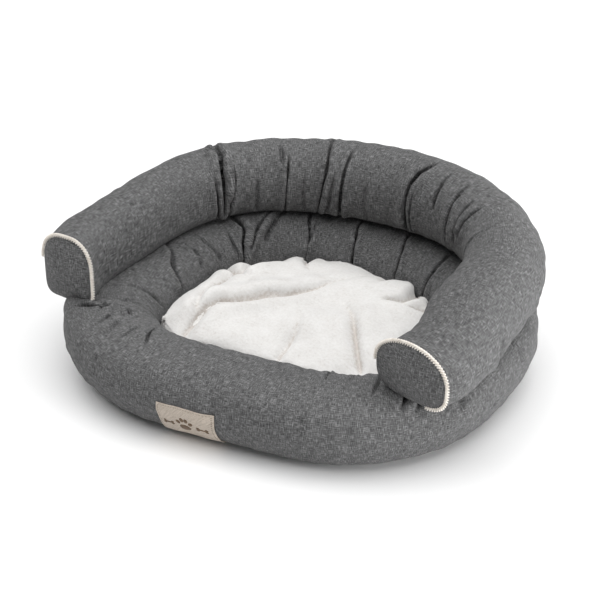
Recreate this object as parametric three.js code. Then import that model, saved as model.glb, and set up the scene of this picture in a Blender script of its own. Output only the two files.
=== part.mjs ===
// A sofa-style cushion bed for a cat or small dog.
//
// A stuffed oval ring, the wall, stands on a fabric base. A stuffed C-shaped roll lies on the wall round
// the left side, the back and the right side, and leaves the front low as the way in. An end panel edged
// with braided piping closes each end of the roll. A loose cushion lies in the well.
//
// Units are millimetres and +Z is up. The origin is on the floor under the middle of the bed, -Y is the
// way in and +X is the right-hand side as seen from the front.

import * as THREE from "three";

// ---- Driving dimensions ----

// Plan of the wall at its widest: a superellipse, with its own fullness in front and behind. The stuffing
// pulls and pushes the outline off it by these distances outwards, every 30 degrees from +X.
const HALF_WIDTH = 300;
const HALF_DEPTH = 274;
const FRONT_FULLNESS = 2.45;
const BACK_FULLNESS = 2.1;
const PLAN_BULGES = [-14, -8, -12, -11, -5, -6, 0, 17, 3, -21, -18, -14];

const WALL_FRONT_HEIGHT = 101;
const WALL_BACK_HEIGHT = 113;
const WALL_THICKNESS = 126;
const WALL_ROUNDNESS = 2.7; // section exponent: 2 is an ellipse, more is boxier
const INNER_ROUNDNESS = 2.1; // the same where the inner face leans back to the top
const BASE_TUCK = 20; // how far the outer face tucks in where it meets the base
const TUCK_FADE = 2.2; // exponent with which the tuck fades out towards half the wall's height
const INNER_TUCK = 0.06; // the same for the inner face, as a share of half the thickness

const FABRIC = 1.2; // thickness of a fabric panel with its seam allowance pressed in
const GAP = 0.4; // between pieces that touch
const FLOOR_PAD = 10;

// The roll, from the right-hand end round the back to the left-hand end. Each station says how far the
// roll's middle lies inside the plan, how high it lies, and its half width and half height.
const ROLL_STATIONS = [
  { inset: 22, height: 142, halfWidth: 53, halfHeight: 37 },
  { inset: 52, height: 152, halfWidth: 56, halfHeight: 44 },
  { inset: 49, height: 158, halfWidth: 52, halfHeight: 46 },
  { inset: 43, height: 164, halfWidth: 50, halfHeight: 50 },
  { inset: 45, height: 164, halfWidth: 51, halfHeight: 52 },
  { inset: 47, height: 160, halfWidth: 47, halfHeight: 50 },
  { inset: 38, height: 158, halfWidth: 43, halfHeight: 49 },
  { inset: 32, height: 151, halfWidth: 38, halfHeight: 47 },
  { inset: 8, height: 142, halfWidth: 38, halfHeight: 45 },
];
const RIGHT_END_DEG = -40; // where the roll starts and ends on the plan; 0 is +X and 90 is +Y
const LEFT_END_DEG = 207;
const RIGHT_END_YAW_DEG = 29; // how far each end panel is turned outwards from square
const LEFT_END_YAW_DEG = 28;
const YAW_REACH = 0.08; // the share of the roll over which an end's turn fades out

const END_DOME = 9; // how far an end panel bulges
const PIPING_RADIUS = 2.6;
const PIPING_STAND = 1; // between the piping and the rim
// How many section steps the piping reaches below the roll's middle, outside and inside.
const RIGHT_PIPING_DROP = [3, 0];
const LEFT_PIPING_DROP = [2, 2];

const CUSHION_TOP = 82;
const CUSHION_CLEARANCE = 1.5; // between the cushion and the wall

const PATCH_BOTTOM = 8;
const PATCH_TOP = 52;
const PATCH_STAND = 1; // between the patch and the wall, because both are faceted
const PATCH_FROM_DEG = 257; // where its sides lie on the plan, which makes it about 80 mm wide
const PATCH_TO_DEG = 269.5;

// ---- Colours and finishes ----

const finish = (color, roughness) => new THREE.MeshStandardMaterial({ color, roughness, metalness: 0 });
const GREY_FABRIC = finish(0x646464, 0.92);
const BASE_FABRIC = finish(0x3c3c3e, 0.9);
const LINING = finish(0x505052, 0.92);
const FIBRE = finish(0xf2f0ea, 0.95);
const PLUSH = finish(0xf0eeea, 0.98);
const CREAM_CORD = finish(0xd8cfc2, 0.8);
const PATCH_FABRIC = finish(0xbdb1a2, 0.85);

// ---- Plan ----

const RING_STEPS = 44;
const radians = THREE.MathUtils.degToRad;
const signedPower = (value, power) => Math.sign(value) * Math.abs(value) ** power;

/** A value at a place along a closed row of values, on a smooth curve through them. */
function roundRow(values, place) {
  const i = Math.floor(place);
  const t = place - i;
  const at = (k) => values[((k % values.length) + values.length) % values.length];
  const [a, b, c, d] = [at(i - 1), at(i), at(i + 1), at(i + 2)];
  return b + 0.5 * t * (c - a + t * (2 * a - 5 * b + 4 * c - d + t * (3 * (b - c) + d - a)));
}

/** The point on the wall's widest outline at a plan angle, in radians. */
function planPoint(angle) {
  const [c, s] = [Math.cos(angle), Math.sin(angle)];
  const power = 2 / (s < 0 ? FRONT_FULLNESS : BACK_FULLNESS);
  const point = new THREE.Vector2(HALF_WIDTH * signedPower(c, power), HALF_DEPTH * signedPower(s, power));
  const bulge = roundRow(PLAN_BULGES, (angle / (2 * Math.PI)) * PLAN_BULGES.length);
  return point.setLength(point.length() + bulge);
}

/** The outline's place and outward direction at a plan angle. */
function planFrame(angle) {
  const step = 0.02; // radians
  const along = planPoint(angle + step).sub(planPoint(angle - step)).normalize();
  return { point: planPoint(angle), out: new THREE.Vector2(along.y, -along.x) };
}

/** Plan angles spread evenly by length between two angles. */
function evenAngles(from, to, count) {
  const samples = 720;
  const lengths = [0];
  for (let i = 1; i <= samples; i++) {
    const a = planPoint(from + ((to - from) * (i - 1)) / samples);
    const b = planPoint(from + ((to - from) * i) / samples);
    lengths.push(lengths[i - 1] + a.distanceTo(b));
  }
  const angles = [];
  for (let k = 0; k < count; k++) {
    const wanted = (lengths[samples] * k) / (count - 1);
    const i = Math.max(1, lengths.findIndex((length) => length >= wanted - 1e-9));
    const share = (wanted - lengths[i - 1]) / (lengths[i] - lengths[i - 1]);
    angles.push(from + ((to - from) * (i - 1 + share)) / samples);
  }
  return angles;
}

/** Places a section point, given as [distance outwards from the outline, height], in space. */
function placed(frame, [outwards, z]) {
  return new THREE.Vector3(frame.point.x + frame.out.x * outwards, frame.point.y + frame.out.y * outwards, z);
}

// ---- Solids from sections ----

/**
 * A closed solid through loops of points. Each loop turns the same way and has an even number of points.
 * The last loop joins the first, or else each end is closed by a strip from one half of its loop to the other.
 */
function loft(loops, joinEnds) {
  const size = loops[0].length;
  const positions = loops.flat().flatMap((p) => [p.x, p.y, p.z]);
  const index = [];
  const last = joinEnds ? loops.length : loops.length - 1;
  for (let i = 0; i < last; i++) {
    const [a, b] = [i * size, ((i + 1) % loops.length) * size];
    for (let k = 0; k < size; k++) {
      const n = (k + 1) % size;
      index.push(a + k, b + k, b + n, a + k, b + n, a + n);
    }
  }
  if (!joinEnds) {
    for (const [start, turned] of [[0, false], [size * (loops.length - 1), true]]) {
      for (let k = 0; k < size / 2 - 1; k++) {
        const [a, b, c, d] = [start + k, start + k + 1, start + size - 2 - k, start + size - 1 - k];
        index.push(...(turned ? [a, c, b, a, d, c] : [a, b, c, a, c, d]));
      }
    }
  }
  const geometry = new THREE.BufferGeometry();
  geometry.setAttribute("position", new THREE.Float32BufferAttribute(positions, 3));
  geometry.setIndex(facingOut(positions, index));
  geometry.computeVertexNormals();
  return geometry;
}

/** The triangles, turned round if they enclose a negative volume. */
function facingOut(positions, index) {
  const at = (i) => new THREE.Vector3().fromArray(positions, i * 3);
  let volume = 0;
  for (let i = 0; i < index.length; i += 3) {
    volume += at(index[i]).dot(at(index[i + 1]).cross(at(index[i + 2])));
  }
  return volume < 0 ? index.toReversed() : index;
}

function named(name, geometry, material) {
  const mesh = new THREE.Mesh(geometry, material);
  mesh.name = name;
  return mesh;
}

/** Section points moved inwards, square to the section line, by a distance. */
function insetLine(points, distance, closed) {
  const count = points.length;
  return points.map((point, i) => {
    const before = points[closed ? (i + count - 1) % count : Math.max(0, i - 1)];
    const after = points[closed ? (i + 1) % count : Math.min(count - 1, i + 1)];
    const [dx, dz] = [after[0] - before[0], after[1] - before[1]];
    const length = Math.hypot(dx, dz);
    return [point[0] - (dz / length) * distance, point[1] + (dx / length) * distance];
  });
}

// ---- The wall ----

const WALL_FOOT = FABRIC + GAP;
const WALL_ARC_STEPS = 12;
const OUTER_FOOT = radians(-66); // where the section's arc starts and ends: 0 is outwards, 90 is up
const INNER_FOOT = radians(253);
const wallHalf = WALL_THICKNESS / 2;
const ringAngles = evenAngles(0, 2 * Math.PI, RING_STEPS + 1).slice(0, RING_STEPS);
const ringFrames = ringAngles.map(planFrame);

/** The wall's height at a point of the plan: it rises towards the back. */
function wallHeightAt(point) {
  const front = THREE.MathUtils.clamp((1 - point.y / HALF_DEPTH) / 2, 0, 1);
  return WALL_BACK_HEIGHT + (WALL_FRONT_HEIGHT - WALL_BACK_HEIGHT) * front ** 1.5;
}

/** The wall's outer line at a height, from the outer foot over the top to the inner foot. */
function wallLine(height) {
  const line = [];
  for (let i = 0; i <= WALL_ARC_STEPS; i++) {
    const a = OUTER_FOOT + ((INNER_FOOT - OUTER_FOOT) * i) / WALL_ARC_STEPS;
    const roundness = Math.cos(a) < 0 && Math.sin(a) > 0 ? INNER_ROUNDNESS : WALL_ROUNDNESS;
    const side = signedPower(Math.cos(a), 2 / roundness);
    const rise = signedPower(Math.sin(a), 2 / roundness);
    const tuck = rise < 0 && side > 0 ? BASE_TUCK * Math.abs(rise) ** TUCK_FADE : 0;
    const z = WALL_FOOT + ((height - WALL_FOOT) * (1 + rise)) / 2;
    const upright = rise < 0 && side < 0; // the inner face runs straight down to the floor
    line.push([-wallHalf + wallHalf * (upright ? -1 + INNER_TUCK * rise ** 4 : side) - tuck, z]);
  }
  line[0][1] = WALL_FOOT;
  line.at(-1)[1] = WALL_FOOT;
  return line;
}

/** A line of the wall's section drawn in from its outer line, with both ends still on the foot. */
function wallSkin(height, drawnIn) {
  const line = wallLine(height);
  const skin = insetLine(line, drawnIn, false);
  skin[0] = [line[0][0] - drawnIn, WALL_FOOT];
  skin[WALL_ARC_STEPS] = [line[WALL_ARC_STEPS][0] + drawnIn, WALL_FOOT];
  return skin;
}

/** The wall ring from a section that a height gives. */
function wallRing(section) {
  return loft(ringFrames.map((frame) => section(wallHeightAt(frame.point)).map((p) => placed(frame, p))), true);
}

function wallCover() {
  return wallRing((height) => [...wallSkin(height, 0), ...wallSkin(height, FABRIC).toReversed()]);
}

function wallFilling() {
  return wallRing((height) => wallSkin(height, FABRIC + GAP));
}

/** How high the wall's top stands at a distance outwards from its outline, or 0 beside the wall. */
function wallTopAt(outwards, height) {
  const side = (outwards + wallHalf) / wallHalf;
  if (Math.abs(side) >= 1) return 0;
  const roundness = side < 0 ? INNER_ROUNDNESS : WALL_ROUNDNESS;
  const rise = (1 - Math.abs(side) ** roundness) ** (1 / roundness);
  return WALL_FOOT + ((height - WALL_FOOT) * (1 + rise)) / 2;
}

// ---- The base and the floor ----

/** A flat plate that follows the plan at a distance outwards from the outline. */
function plate(outwards, bottom, top) {
  const outline = ringFrames.map((frame) => placed(frame, [outwards, 0]));
  const shape = new THREE.Shape(outline.map((p) => new THREE.Vector2(p.x, p.y)));
  return new THREE.ExtrudeGeometry(shape, { depth: top - bottom, bevelEnabled: false }).translate(0, 0, bottom);
}

const floorEdge = -WALL_THICKNESS - 2 * GAP;
const liningTop = WALL_FOOT + FLOOR_PAD + GAP + FABRIC;

// ---- The roll ----

const ROLL_STEPS = 32;
const ROLL_SIDES = 16;
const rollAngles = evenAngles(radians(RIGHT_END_DEG), radians(LEFT_END_DEG), ROLL_STEPS + 1);
const REST_GAP = 1.2; // the roll stands this clear of the wall's top, because both are faceted
const ROLL_SLACK = 2; // between the roll's cover and its filling

/** A measure of the roll at a share of its length, on a smooth curve through the stations. */
function rollMeasure(measure, share) {
  const curve = new THREE.SplineCurve(
    ROLL_STATIONS.map((station, i) => new THREE.Vector2(i / (ROLL_STATIONS.length - 1), station[measure])),
  );
  return curve.getPoint(share).y;
}

/** The plan frame at a share of the roll's length, turned by the ends' yaw about the roll's middle. */
function rollFrame(share, angle) {
  const frame = planFrame(angle);
  const inset = rollMeasure("inset", share);
  const middle = frame.point.clone().addScaledVector(frame.out, -inset);
  const fade = (distance) => Math.max(0, 1 - distance / YAW_REACH) ** 2;
  const yaw = radians(RIGHT_END_YAW_DEG) * fade(share) - radians(LEFT_END_YAW_DEG) * fade(1 - share);
  const out = frame.out.clone().rotateAround(new THREE.Vector2(), yaw);
  return { point: middle.clone().addScaledVector(out, inset), out };
}

/** The roll's section at a share of its length, flat where it rests on a wall of a given height. */
function rollSection(share, wallHeight) {
  const inset = rollMeasure("inset", share);
  const halfWidth = rollMeasure("halfWidth", share);
  const halfHeight = rollMeasure("halfHeight", share);
  const height = rollMeasure("height", share);
  const section = [];
  for (let k = 0; k < ROLL_SIDES; k++) {
    const a = (2 * Math.PI * k) / ROLL_SIDES;
    const outwards = -inset + halfWidth * Math.cos(a);
    const floor = wallTopAt(outwards, wallHeight) + REST_GAP;
    section.push([outwards, Math.max(floor, height + halfHeight * Math.sin(a))]);
  }
  return section;
}

const rollShares = rollAngles.map((_, i) => i / ROLL_STEPS);
const rollFrames = rollShares.map((share, i) => rollFrame(share, rollAngles[i]));
const rollSections = rollShares.map((share, i) => rollSection(share, wallHeightAt(planPoint(rollAngles[i]))));

function rollLoops(drawnIn) {
  return rollSections.map((section, i) =>
    insetLine(section, drawnIn, true).map((p) => placed(rollFrames[i], p)),
  );
}

/** An open-ended sleeve: the outer skin out along the roll and the inner skin back. */
function rollCover() {
  return loft([...rollLoops(0), ...rollLoops(FABRIC).toReversed()], true);
}

function rollFilling() {
  return loft(rollLoops(FABRIC + GAP + ROLL_SLACK), false);
}

// ---- The roll's end panels and their piping ----

/** The end's middle, its outline and the direction that it faces. */
function rollEnd(isRight) {
  const i = isRight ? 0 : ROLL_STEPS;
  const { out } = rollFrames[i];
  const facing = new THREE.Vector3(isRight ? out.y : -out.y, isRight ? -out.x : out.x, 0);
  const rim = rollLoops(0)[i];
  const middle = rim.reduce((sum, p) => sum.add(p), new THREE.Vector3()).divideScalar(rim.length);
  return { rim, middle, facing };
}

/** A domed fabric panel: rings of the rim's own shape, smaller and further out towards its middle. */
function endPanel(isRight) {
  const { rim, middle, facing } = rollEnd(isRight);
  const ring = (size, lift) =>
    rim.map((p) => p.clone().sub(middle).multiplyScalar(size).add(middle).addScaledVector(facing, lift));
  const sizes = [1, 0.82, 0.55, 0.25];
  const dome = (size) => END_DOME * (1 - size ** 2);
  const front = sizes.map((size) => ring(size, GAP + FABRIC + dome(size)));
  const back = sizes.toReversed().map((size) => ring(size, GAP + dome(size)));
  return loft([...back, ...front], false);
}

/** Piping along the rim, up one side, over the top and down the other side to where the wall covers it. */
function piping(isRight, [outerDrop, innerDrop]) {
  const { rim, middle, facing } = rollEnd(isRight);
  const lift = GAP + FABRIC / 2;
  const path = [];
  for (let k = -outerDrop; k <= ROLL_SIDES / 2 + innerDrop; k++) {
    const p = rim[(k + ROLL_SIDES) % ROLL_SIDES];
    const away = p.clone().sub(middle).normalize();
    path.push(p.clone().addScaledVector(away, PIPING_RADIUS + PIPING_STAND).addScaledVector(facing, lift));
  }
  const section = new THREE.Shape().absarc(0, 0, PIPING_RADIUS, 0, 2 * Math.PI);
  return new THREE.ExtrudeGeometry(section, {
    steps: 26,
    curveSegments: 4,
    extrudePath: new THREE.CatmullRomCurve3(path),
    bevelEnabled: false,
  });
}

// ---- The cushion ----

const CUSHION_FOOT = liningTop + GAP;
const CUSHION_EDGE = -WALL_THICKNESS - CUSHION_CLEARANCE;
const CUSHION_SEAM = CUSHION_FOOT + 0.42 * (CUSHION_TOP - CUSHION_FOOT);
const TOP_FULLNESS = 5; // exponent of the face's profile from its seam to its middle
const BOTTOM_FULLNESS = 7;

/** Loops of one cushion face, from its edge seam to its middle, drawn in by a distance. */
function cushionFace(isTop, drawnIn) {
  const reach = (isTop ? CUSHION_TOP - CUSHION_SEAM : CUSHION_SEAM - CUSHION_FOOT) - drawnIn;
  const fullness = isTop ? TOP_FULLNESS : BOTTOM_FULLNESS;
  const edge = ringFrames.map((frame) => placed(frame, [CUSHION_EDGE - drawnIn, 0]));
  return [1, 0.98, 0.94, 0.85, 0.6].map((size) => {
    const lift = reach * (1 - size ** fullness) ** (1 / fullness);
    const z = CUSHION_SEAM + (isTop ? lift : -lift);
    return edge.map((p) => new THREE.Vector3(p.x * size, p.y * size, z));
  });
}

/** A fabric face of the cushion: an outer skin with an inner skin behind it. */
function cushionPanel(isTop) {
  const away = isTop ? GAP / 2 : -GAP / 2;
  const shifted = (loops) => loops.map((loop) => loop.map((p) => p.clone().setZ(p.z + away)));
  return loft([...shifted(cushionFace(isTop, 0)).toReversed(), ...shifted(cushionFace(isTop, FABRIC))], false);
}

function cushionFilling() {
  const drawnIn = FABRIC + GAP;
  return loft([...cushionFace(false, drawnIn).toReversed(), ...cushionFace(true, drawnIn).slice(1)], false);
}

// ---- The patch ----

/** The wall's outer face between two heights, as points of its section. */
function outerFace(low, high) {
  const line = wallLine(WALL_FRONT_HEIGHT);
  const pointAt = (z) => {
    const i = line.findIndex(([, height]) => height > z);
    const share = (z - line[i - 1][1]) / (line[i][1] - line[i - 1][1]);
    return [line[i - 1][0] + (line[i][0] - line[i - 1][0]) * share, z];
  };
  const between = line.filter(([, z], i) => i < WALL_ARC_STEPS / 2 && z > low && z < high);
  return [pointAt(low), ...between, pointAt(high)];
}

/** A fabric patch that follows the lower front of the wall, a little proud of it. */
function frontPatch() {
  const face = outerFace(PATCH_BOTTOM, PATCH_TOP);
  const section = [
    ...insetLine(face, -PATCH_STAND, false),
    ...insetLine(face, -PATCH_STAND - FABRIC, false).toReversed(),
  ];
  const angles = evenAngles(radians(PATCH_FROM_DEG), radians(PATCH_TO_DEG), 9);
  return loft(angles.map(planFrame).map((frame) => section.map((p) => placed(frame, p))), false);
}

// ---- The bed ----

const footEdge = wallLine(WALL_FRONT_HEIGHT)[0][0];
const bed = new THREE.Group();
bed.add(
  named("base_panel", plate(footEdge, 0, FABRIC), BASE_FABRIC),
  named("floor_pad", plate(floorEdge, WALL_FOOT, WALL_FOOT + FLOOR_PAD), FIBRE),
  named("floor_lining", plate(floorEdge, WALL_FOOT + FLOOR_PAD + GAP, liningTop), LINING),
  named("wall_cover", wallCover(), GREY_FABRIC),
  named("wall_filling", wallFilling(), FIBRE),
  named("roll_cover", rollCover(), GREY_FABRIC),
  named("roll_filling", rollFilling(), FIBRE),
  named("right_end_panel", endPanel(true), GREY_FABRIC),
  named("left_end_panel", endPanel(false), GREY_FABRIC),
  named("right_piping", piping(true, RIGHT_PIPING_DROP), CREAM_CORD),
  named("left_piping", piping(false, LEFT_PIPING_DROP), CREAM_CORD),
  named("front_patch", frontPatch(), PATCH_FABRIC),
);

const cushion = new THREE.Group();
cushion.add(
  named("cushion_top", cushionPanel(true), PLUSH),
  named("cushion_bottom", cushionPanel(false), LINING),
  named("cushion_filling", cushionFilling(), FIBRE),
);

const petBed = new THREE.Group();
petBed.add(bed, cushion);

// The hand-stuffed plan isn't quite even, so the bed is moved to stand centred on the origin.
const middle = new THREE.Box3().setFromObject(petBed, true).getCenter(new THREE.Vector3());
petBed.position.set(-middle.x, -middle.y, 0);

export default petBed;
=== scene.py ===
"""A sofa-style pet bed: an oval stuffed wall, a C-shaped stuffed roll with piped ends, and a plush cushion.

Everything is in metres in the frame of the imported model: +Z is up, -Y is the low front and +X is the right.
"""

from __future__ import annotations

import logging
import math
from dataclasses import dataclass, field
from enum import Enum

import bpy
import numpy as np
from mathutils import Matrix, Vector
from mathutils.bvhtree import BVHTree


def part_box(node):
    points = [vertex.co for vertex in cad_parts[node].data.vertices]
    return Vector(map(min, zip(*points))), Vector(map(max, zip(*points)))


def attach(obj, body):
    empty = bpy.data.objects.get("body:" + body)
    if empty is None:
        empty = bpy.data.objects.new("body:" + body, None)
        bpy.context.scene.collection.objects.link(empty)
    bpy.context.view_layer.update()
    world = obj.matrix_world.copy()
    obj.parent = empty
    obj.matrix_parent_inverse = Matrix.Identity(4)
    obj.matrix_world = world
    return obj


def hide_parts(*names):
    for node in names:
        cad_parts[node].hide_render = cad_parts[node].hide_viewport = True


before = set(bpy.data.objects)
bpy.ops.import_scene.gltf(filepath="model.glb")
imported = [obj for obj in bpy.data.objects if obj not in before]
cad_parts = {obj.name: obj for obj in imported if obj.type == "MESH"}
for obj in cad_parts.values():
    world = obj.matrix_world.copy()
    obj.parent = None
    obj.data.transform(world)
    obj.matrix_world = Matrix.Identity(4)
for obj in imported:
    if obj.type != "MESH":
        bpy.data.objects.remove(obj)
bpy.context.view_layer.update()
LOG = logging.getLogger("pet_bed")

BED, CUSHION = "bed", "cushion"


# ---- Curves and grids ----


def smooth_row(values: np.ndarray, place: np.ndarray, closed: bool) -> np.ndarray:
    """A smooth curve through evenly spaced values.

    Args:
        values: The values, along the first axis.
        place: Where to read the curve, counted in values from the first.
        closed: Whether the last value is followed by the first.

    Returns:
        The curve's value at each place.
    """
    count = len(values)
    first = np.floor(place).astype(int)
    if not closed:
        first = np.clip(first, 0, count - 2)
    t = (place - first).reshape(place.shape + (1,) * (values.ndim - 1))

    def at(index: np.ndarray) -> np.ndarray:
        """The value at an index, past either end as well."""
        return values[index % count] if closed else values[np.clip(index, 0, count - 1)]

    a, b, c, d = at(first - 1), at(first), at(first + 1), at(first + 2)
    return b + 0.5 * t * (c - a + t * (2 * a - 5 * b + 4 * c - d + t * (3 * (b - c) + d - a)))


def signed_power(value: np.ndarray, power: float) -> np.ndarray:
    """The value's size raised to a power, with its own sign."""
    return np.sign(value) * np.abs(value) ** power


def doubled(points: np.ndarray, closed: bool) -> np.ndarray:
    """A row of points with one more on the smooth curve between each two."""
    count = len(points)
    places = np.arange(2 * count if closed else 2 * count - 1) / 2
    return smooth_row(points, places, closed)


def refined(grid: np.ndarray, closed_along: bool) -> np.ndarray:
    """A grid of points, closed round its second axis, with twice as many points each way."""
    grid = doubled(grid, closed_along)
    return np.swapaxes(doubled(np.swapaxes(grid, 0, 1), True), 0, 1)


def grid_normals(grid: np.ndarray, closed_along: bool) -> np.ndarray:
    """Unit normals of a grid of points that is closed round its second axis.

    Args:
        grid: The points, along the piece first and round it second.
        closed_along: Whether the first axis is closed too.

    Returns:
        A normal for each point, pointing outwards where the section turns anticlockwise.
    """
    if closed_along:
        along = np.roll(grid, -1, 0) - np.roll(grid, 1, 0)
    else:
        along = np.gradient(grid, axis=0)
    around = np.roll(grid, -1, 1) - np.roll(grid, 1, 1)
    normal = np.cross(along, around)
    return normal / (np.linalg.norm(normal, axis=-1, keepdims=True) + 1e-12)


def ripple(along: np.ndarray, around: np.ndarray, wave: float, seed: int, terms: int = 9) -> np.ndarray:
    """Smooth random undulation over a surface, about -1 to 1.

    Args:
        along: Distance along the surface, in metres.
        around: Distance across the surface, in metres.
        wave: The typical wavelength, in metres.
        seed: Which undulation.
        terms: How many waves are added up.

    Returns:
        The undulation's height at each point.
    """
    rng = np.random.default_rng(seed)
    total = np.zeros(np.broadcast(along, around).shape)
    for _ in range(terms):
        way = rng.uniform(0, math.tau)
        number = math.tau / (wave * rng.uniform(0.7, 1.6))
        shift = rng.uniform(0, math.tau)
        total += np.sin(number * (np.cos(way) * along + np.sin(way) * around) + shift)
    return total / math.sqrt(terms)


@dataclass(frozen=True)
class Plan:
    """The outline of the wall at its widest, as the bed was cut and stuffed."""

    half_width: float = 0.300
    half_depth: float = 0.274
    front_fullness: float = 2.45
    back_fullness: float = 2.1
    bulges: tuple[float, ...] = (
        -0.014, -0.008, -0.012, -0.011, -0.005, -0.006, 0.0, 0.017, 0.003, -0.021, -0.018, -0.014,
    )  # fmt: skip

    def raw(self, angle: np.ndarray) -> np.ndarray:
        """Points of the outline at plan angles, before the bed is centred.

        Args:
            angle: The plan angles, in radians.

        Returns:
            The points.
        """
        c, s = np.cos(angle), np.sin(angle)
        power = 2 / np.where(s < 0, self.front_fullness, self.back_fullness)
        x, y = self.half_width * signed_power(c, power), self.half_depth * signed_power(s, power)
        points = np.stack([x, y], -1)
        reach = np.linalg.norm(points, axis=-1, keepdims=True)
        bulge = smooth_row(np.array(self.bulges), angle / math.tau * len(self.bulges), True)
        return points * (1 + bulge[..., None] / reach)

    def centre(self) -> np.ndarray:
        """What the outline is moved by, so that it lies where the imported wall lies."""
        low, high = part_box("wall_cover")
        ring = self.raw(np.linspace(0, math.tau, 721))
        packed = np.array([low.x + high.x, low.y + high.y]) / 2
        return packed - (ring.min(0) + ring.max(0)) / 2

    def points(self, angle: np.ndarray) -> np.ndarray:
        """Points of the outline at plan angles, in radians."""
        return self.raw(angle) + self.centre()

    def even_angles(self, start: float, end: float, count: int) -> np.ndarray:
        """Plan angles spread evenly by length.

        Args:
            start: The first plan angle, in radians.
            end: The last one.
            count: How many.

        Returns:
            The angles.
        """
        fine = np.linspace(start, end, 1441)
        length = np.concatenate([[0], np.cumsum(np.linalg.norm(np.diff(self.raw(fine), axis=0), axis=1))])
        return np.interp(np.linspace(0, length[-1], count), length, fine)


@dataclass
class Spine:
    """The line that a tube follows in plan, with the outward direction at each of its points."""

    point: np.ndarray
    out: np.ndarray

    @classmethod
    def along_plan(cls, plan: Plan, angles: np.ndarray) -> Spine:
        """The spine over the plan's outline at plan angles."""
        step = 0.02
        along = plan.raw(angles + step) - plan.raw(angles - step)
        along /= np.linalg.norm(along, axis=1, keepdims=True)
        return cls(plan.points(angles), np.stack([along[:, 1], -along[:, 0]], 1))

    def place(self, section: np.ndarray) -> np.ndarray:
        """Section points in space.

        Args:
            section: For each spine point a row of [distance outwards, height].

        Returns:
            The same grid of points, in space.
        """
        flat = self.point[:, None, :] + self.out[:, None, :] * section[..., :1]
        return np.concatenate([flat, section[..., 1:]], axis=-1)

    def turned(self, yaw: np.ndarray, inset: np.ndarray) -> Spine:
        """The spine with each section turned by a yaw about the point that lies inset inside it."""
        middle = self.point - self.out * inset[:, None]
        c, s = np.cos(yaw), np.sin(yaw)
        out = np.stack([c * self.out[:, 0] - s * self.out[:, 1], s * self.out[:, 0] + c * self.out[:, 1]], 1)
        return Spine(middle + out * inset[:, None], out)

    def opened(self, bend: float, spare: float) -> Spine:
        """The spine of the cut cloth, which is longer and less bent than the place it is sewn into.

        Args:
            bend: The share of the bend that the cut keeps.
            spare: How much longer the cut is along the outline, as a factor.

        Returns:
            The opened spine.
        """
        step = np.diff(self.point, axis=0)
        heading = np.unwrap(np.arctan2(step[:, 1], step[:, 0]))
        length = np.linalg.norm(step, axis=1) * spare
        middle = heading[len(heading) // 2]
        heading = middle + (heading - middle) * bend
        steps = np.stack([np.cos(heading), np.sin(heading)], 1) * length[:, None]
        point = np.concatenate([[[0.0, 0.0]], np.cumsum(steps, axis=0)])
        facing = np.gradient(point, axis=0)
        facing /= np.linalg.norm(facing, axis=1, keepdims=True)
        return Spine(point, np.stack([facing[:, 1], -facing[:, 0]], 1))


@dataclass(frozen=True)
class Fold:
    """A fold that the stuffing pulls into the cloth: a sharp valley along a line, between soft lips."""

    points: tuple[tuple[float, float], ...]  # from its fading end to its deep end
    depth: float
    width: float  # half the valley's width, in metres
    lean: float = 0.0  # above 0, the cloth on its left stands higher
    fade: float = 0.6  # the share of its length over which it fades in

    def scaled(self, along: float, across: float, depth: float, width: float) -> Fold:
        """The same fold in other units, and of another depth and width."""
        points = tuple((a * along, b * across) for a, b in self.points)
        return Fold(points, self.depth * depth, self.width * width, self.lean, self.fade)

    def valley(self, x: np.ndarray, y: np.ndarray) -> np.ndarray:
        """How far points are pulled in, in metres, where x and y are in the units of the fold's points.

        Args:
            x: The points' first coordinates.
            y: Their second ones.

        Returns:
            How far in, and below zero where the cloth beside a fold stands up.
        """
        line = smooth_row(np.array(self.points), np.linspace(0, len(self.points) - 1, 24), False)
        reach = 8 * self.width
        low, high = line.min(0) - reach, line.max(0) + reach
        near = (x > low[0]) & (x < high[0]) & (y > low[1]) & (y < high[1])
        total = np.zeros(near.shape)
        if not near.any():
            return total
        x, y = x[near], y[near]
        away, side, share = np.full(x.shape, np.inf), np.zeros(x.shape), np.zeros(x.shape)
        for k in range(len(line) - 1):
            a, d = line[k], line[k + 1] - line[k]
            t = np.clip(((x - a[0]) * d[0] + (y - a[1]) * d[1]) / (d @ d), 0, 1)
            off_x, off_y = x - a[0] - t * d[0], y - a[1] - t * d[1]
            gap = np.hypot(off_x, off_y)
            closer = gap < away
            away = np.where(closer, gap, away)
            side = np.where(closer, np.sign(d[0] * off_y - d[1] * off_x), side)
            share = np.where(closer, (k + t) / (len(line) - 1), share)
        taper = np.clip(share / self.fade, 0.05, 1) ** 0.8 * np.clip((1.02 - share) / 0.12, 0.1, 1)
        width = self.width * (0.6 + 0.4 * taper)
        groove = 0.6 * np.exp(-((away / width) ** 1.5)) + 0.4 * np.exp(-away / (0.35 * width))
        lips = 0.3 * np.exp(-(((away - 2.6 * width) / (1.7 * width)) ** 2))
        higher = self.lean * side * np.exp(-away / (2.5 * width)) * (1 - np.exp(-away / (0.4 * width)))
        total[near] = self.depth * taper * (groove - lips - higher)
        return total


DEGREE = 0.00095  # metres round a tube's section for each degree


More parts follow.
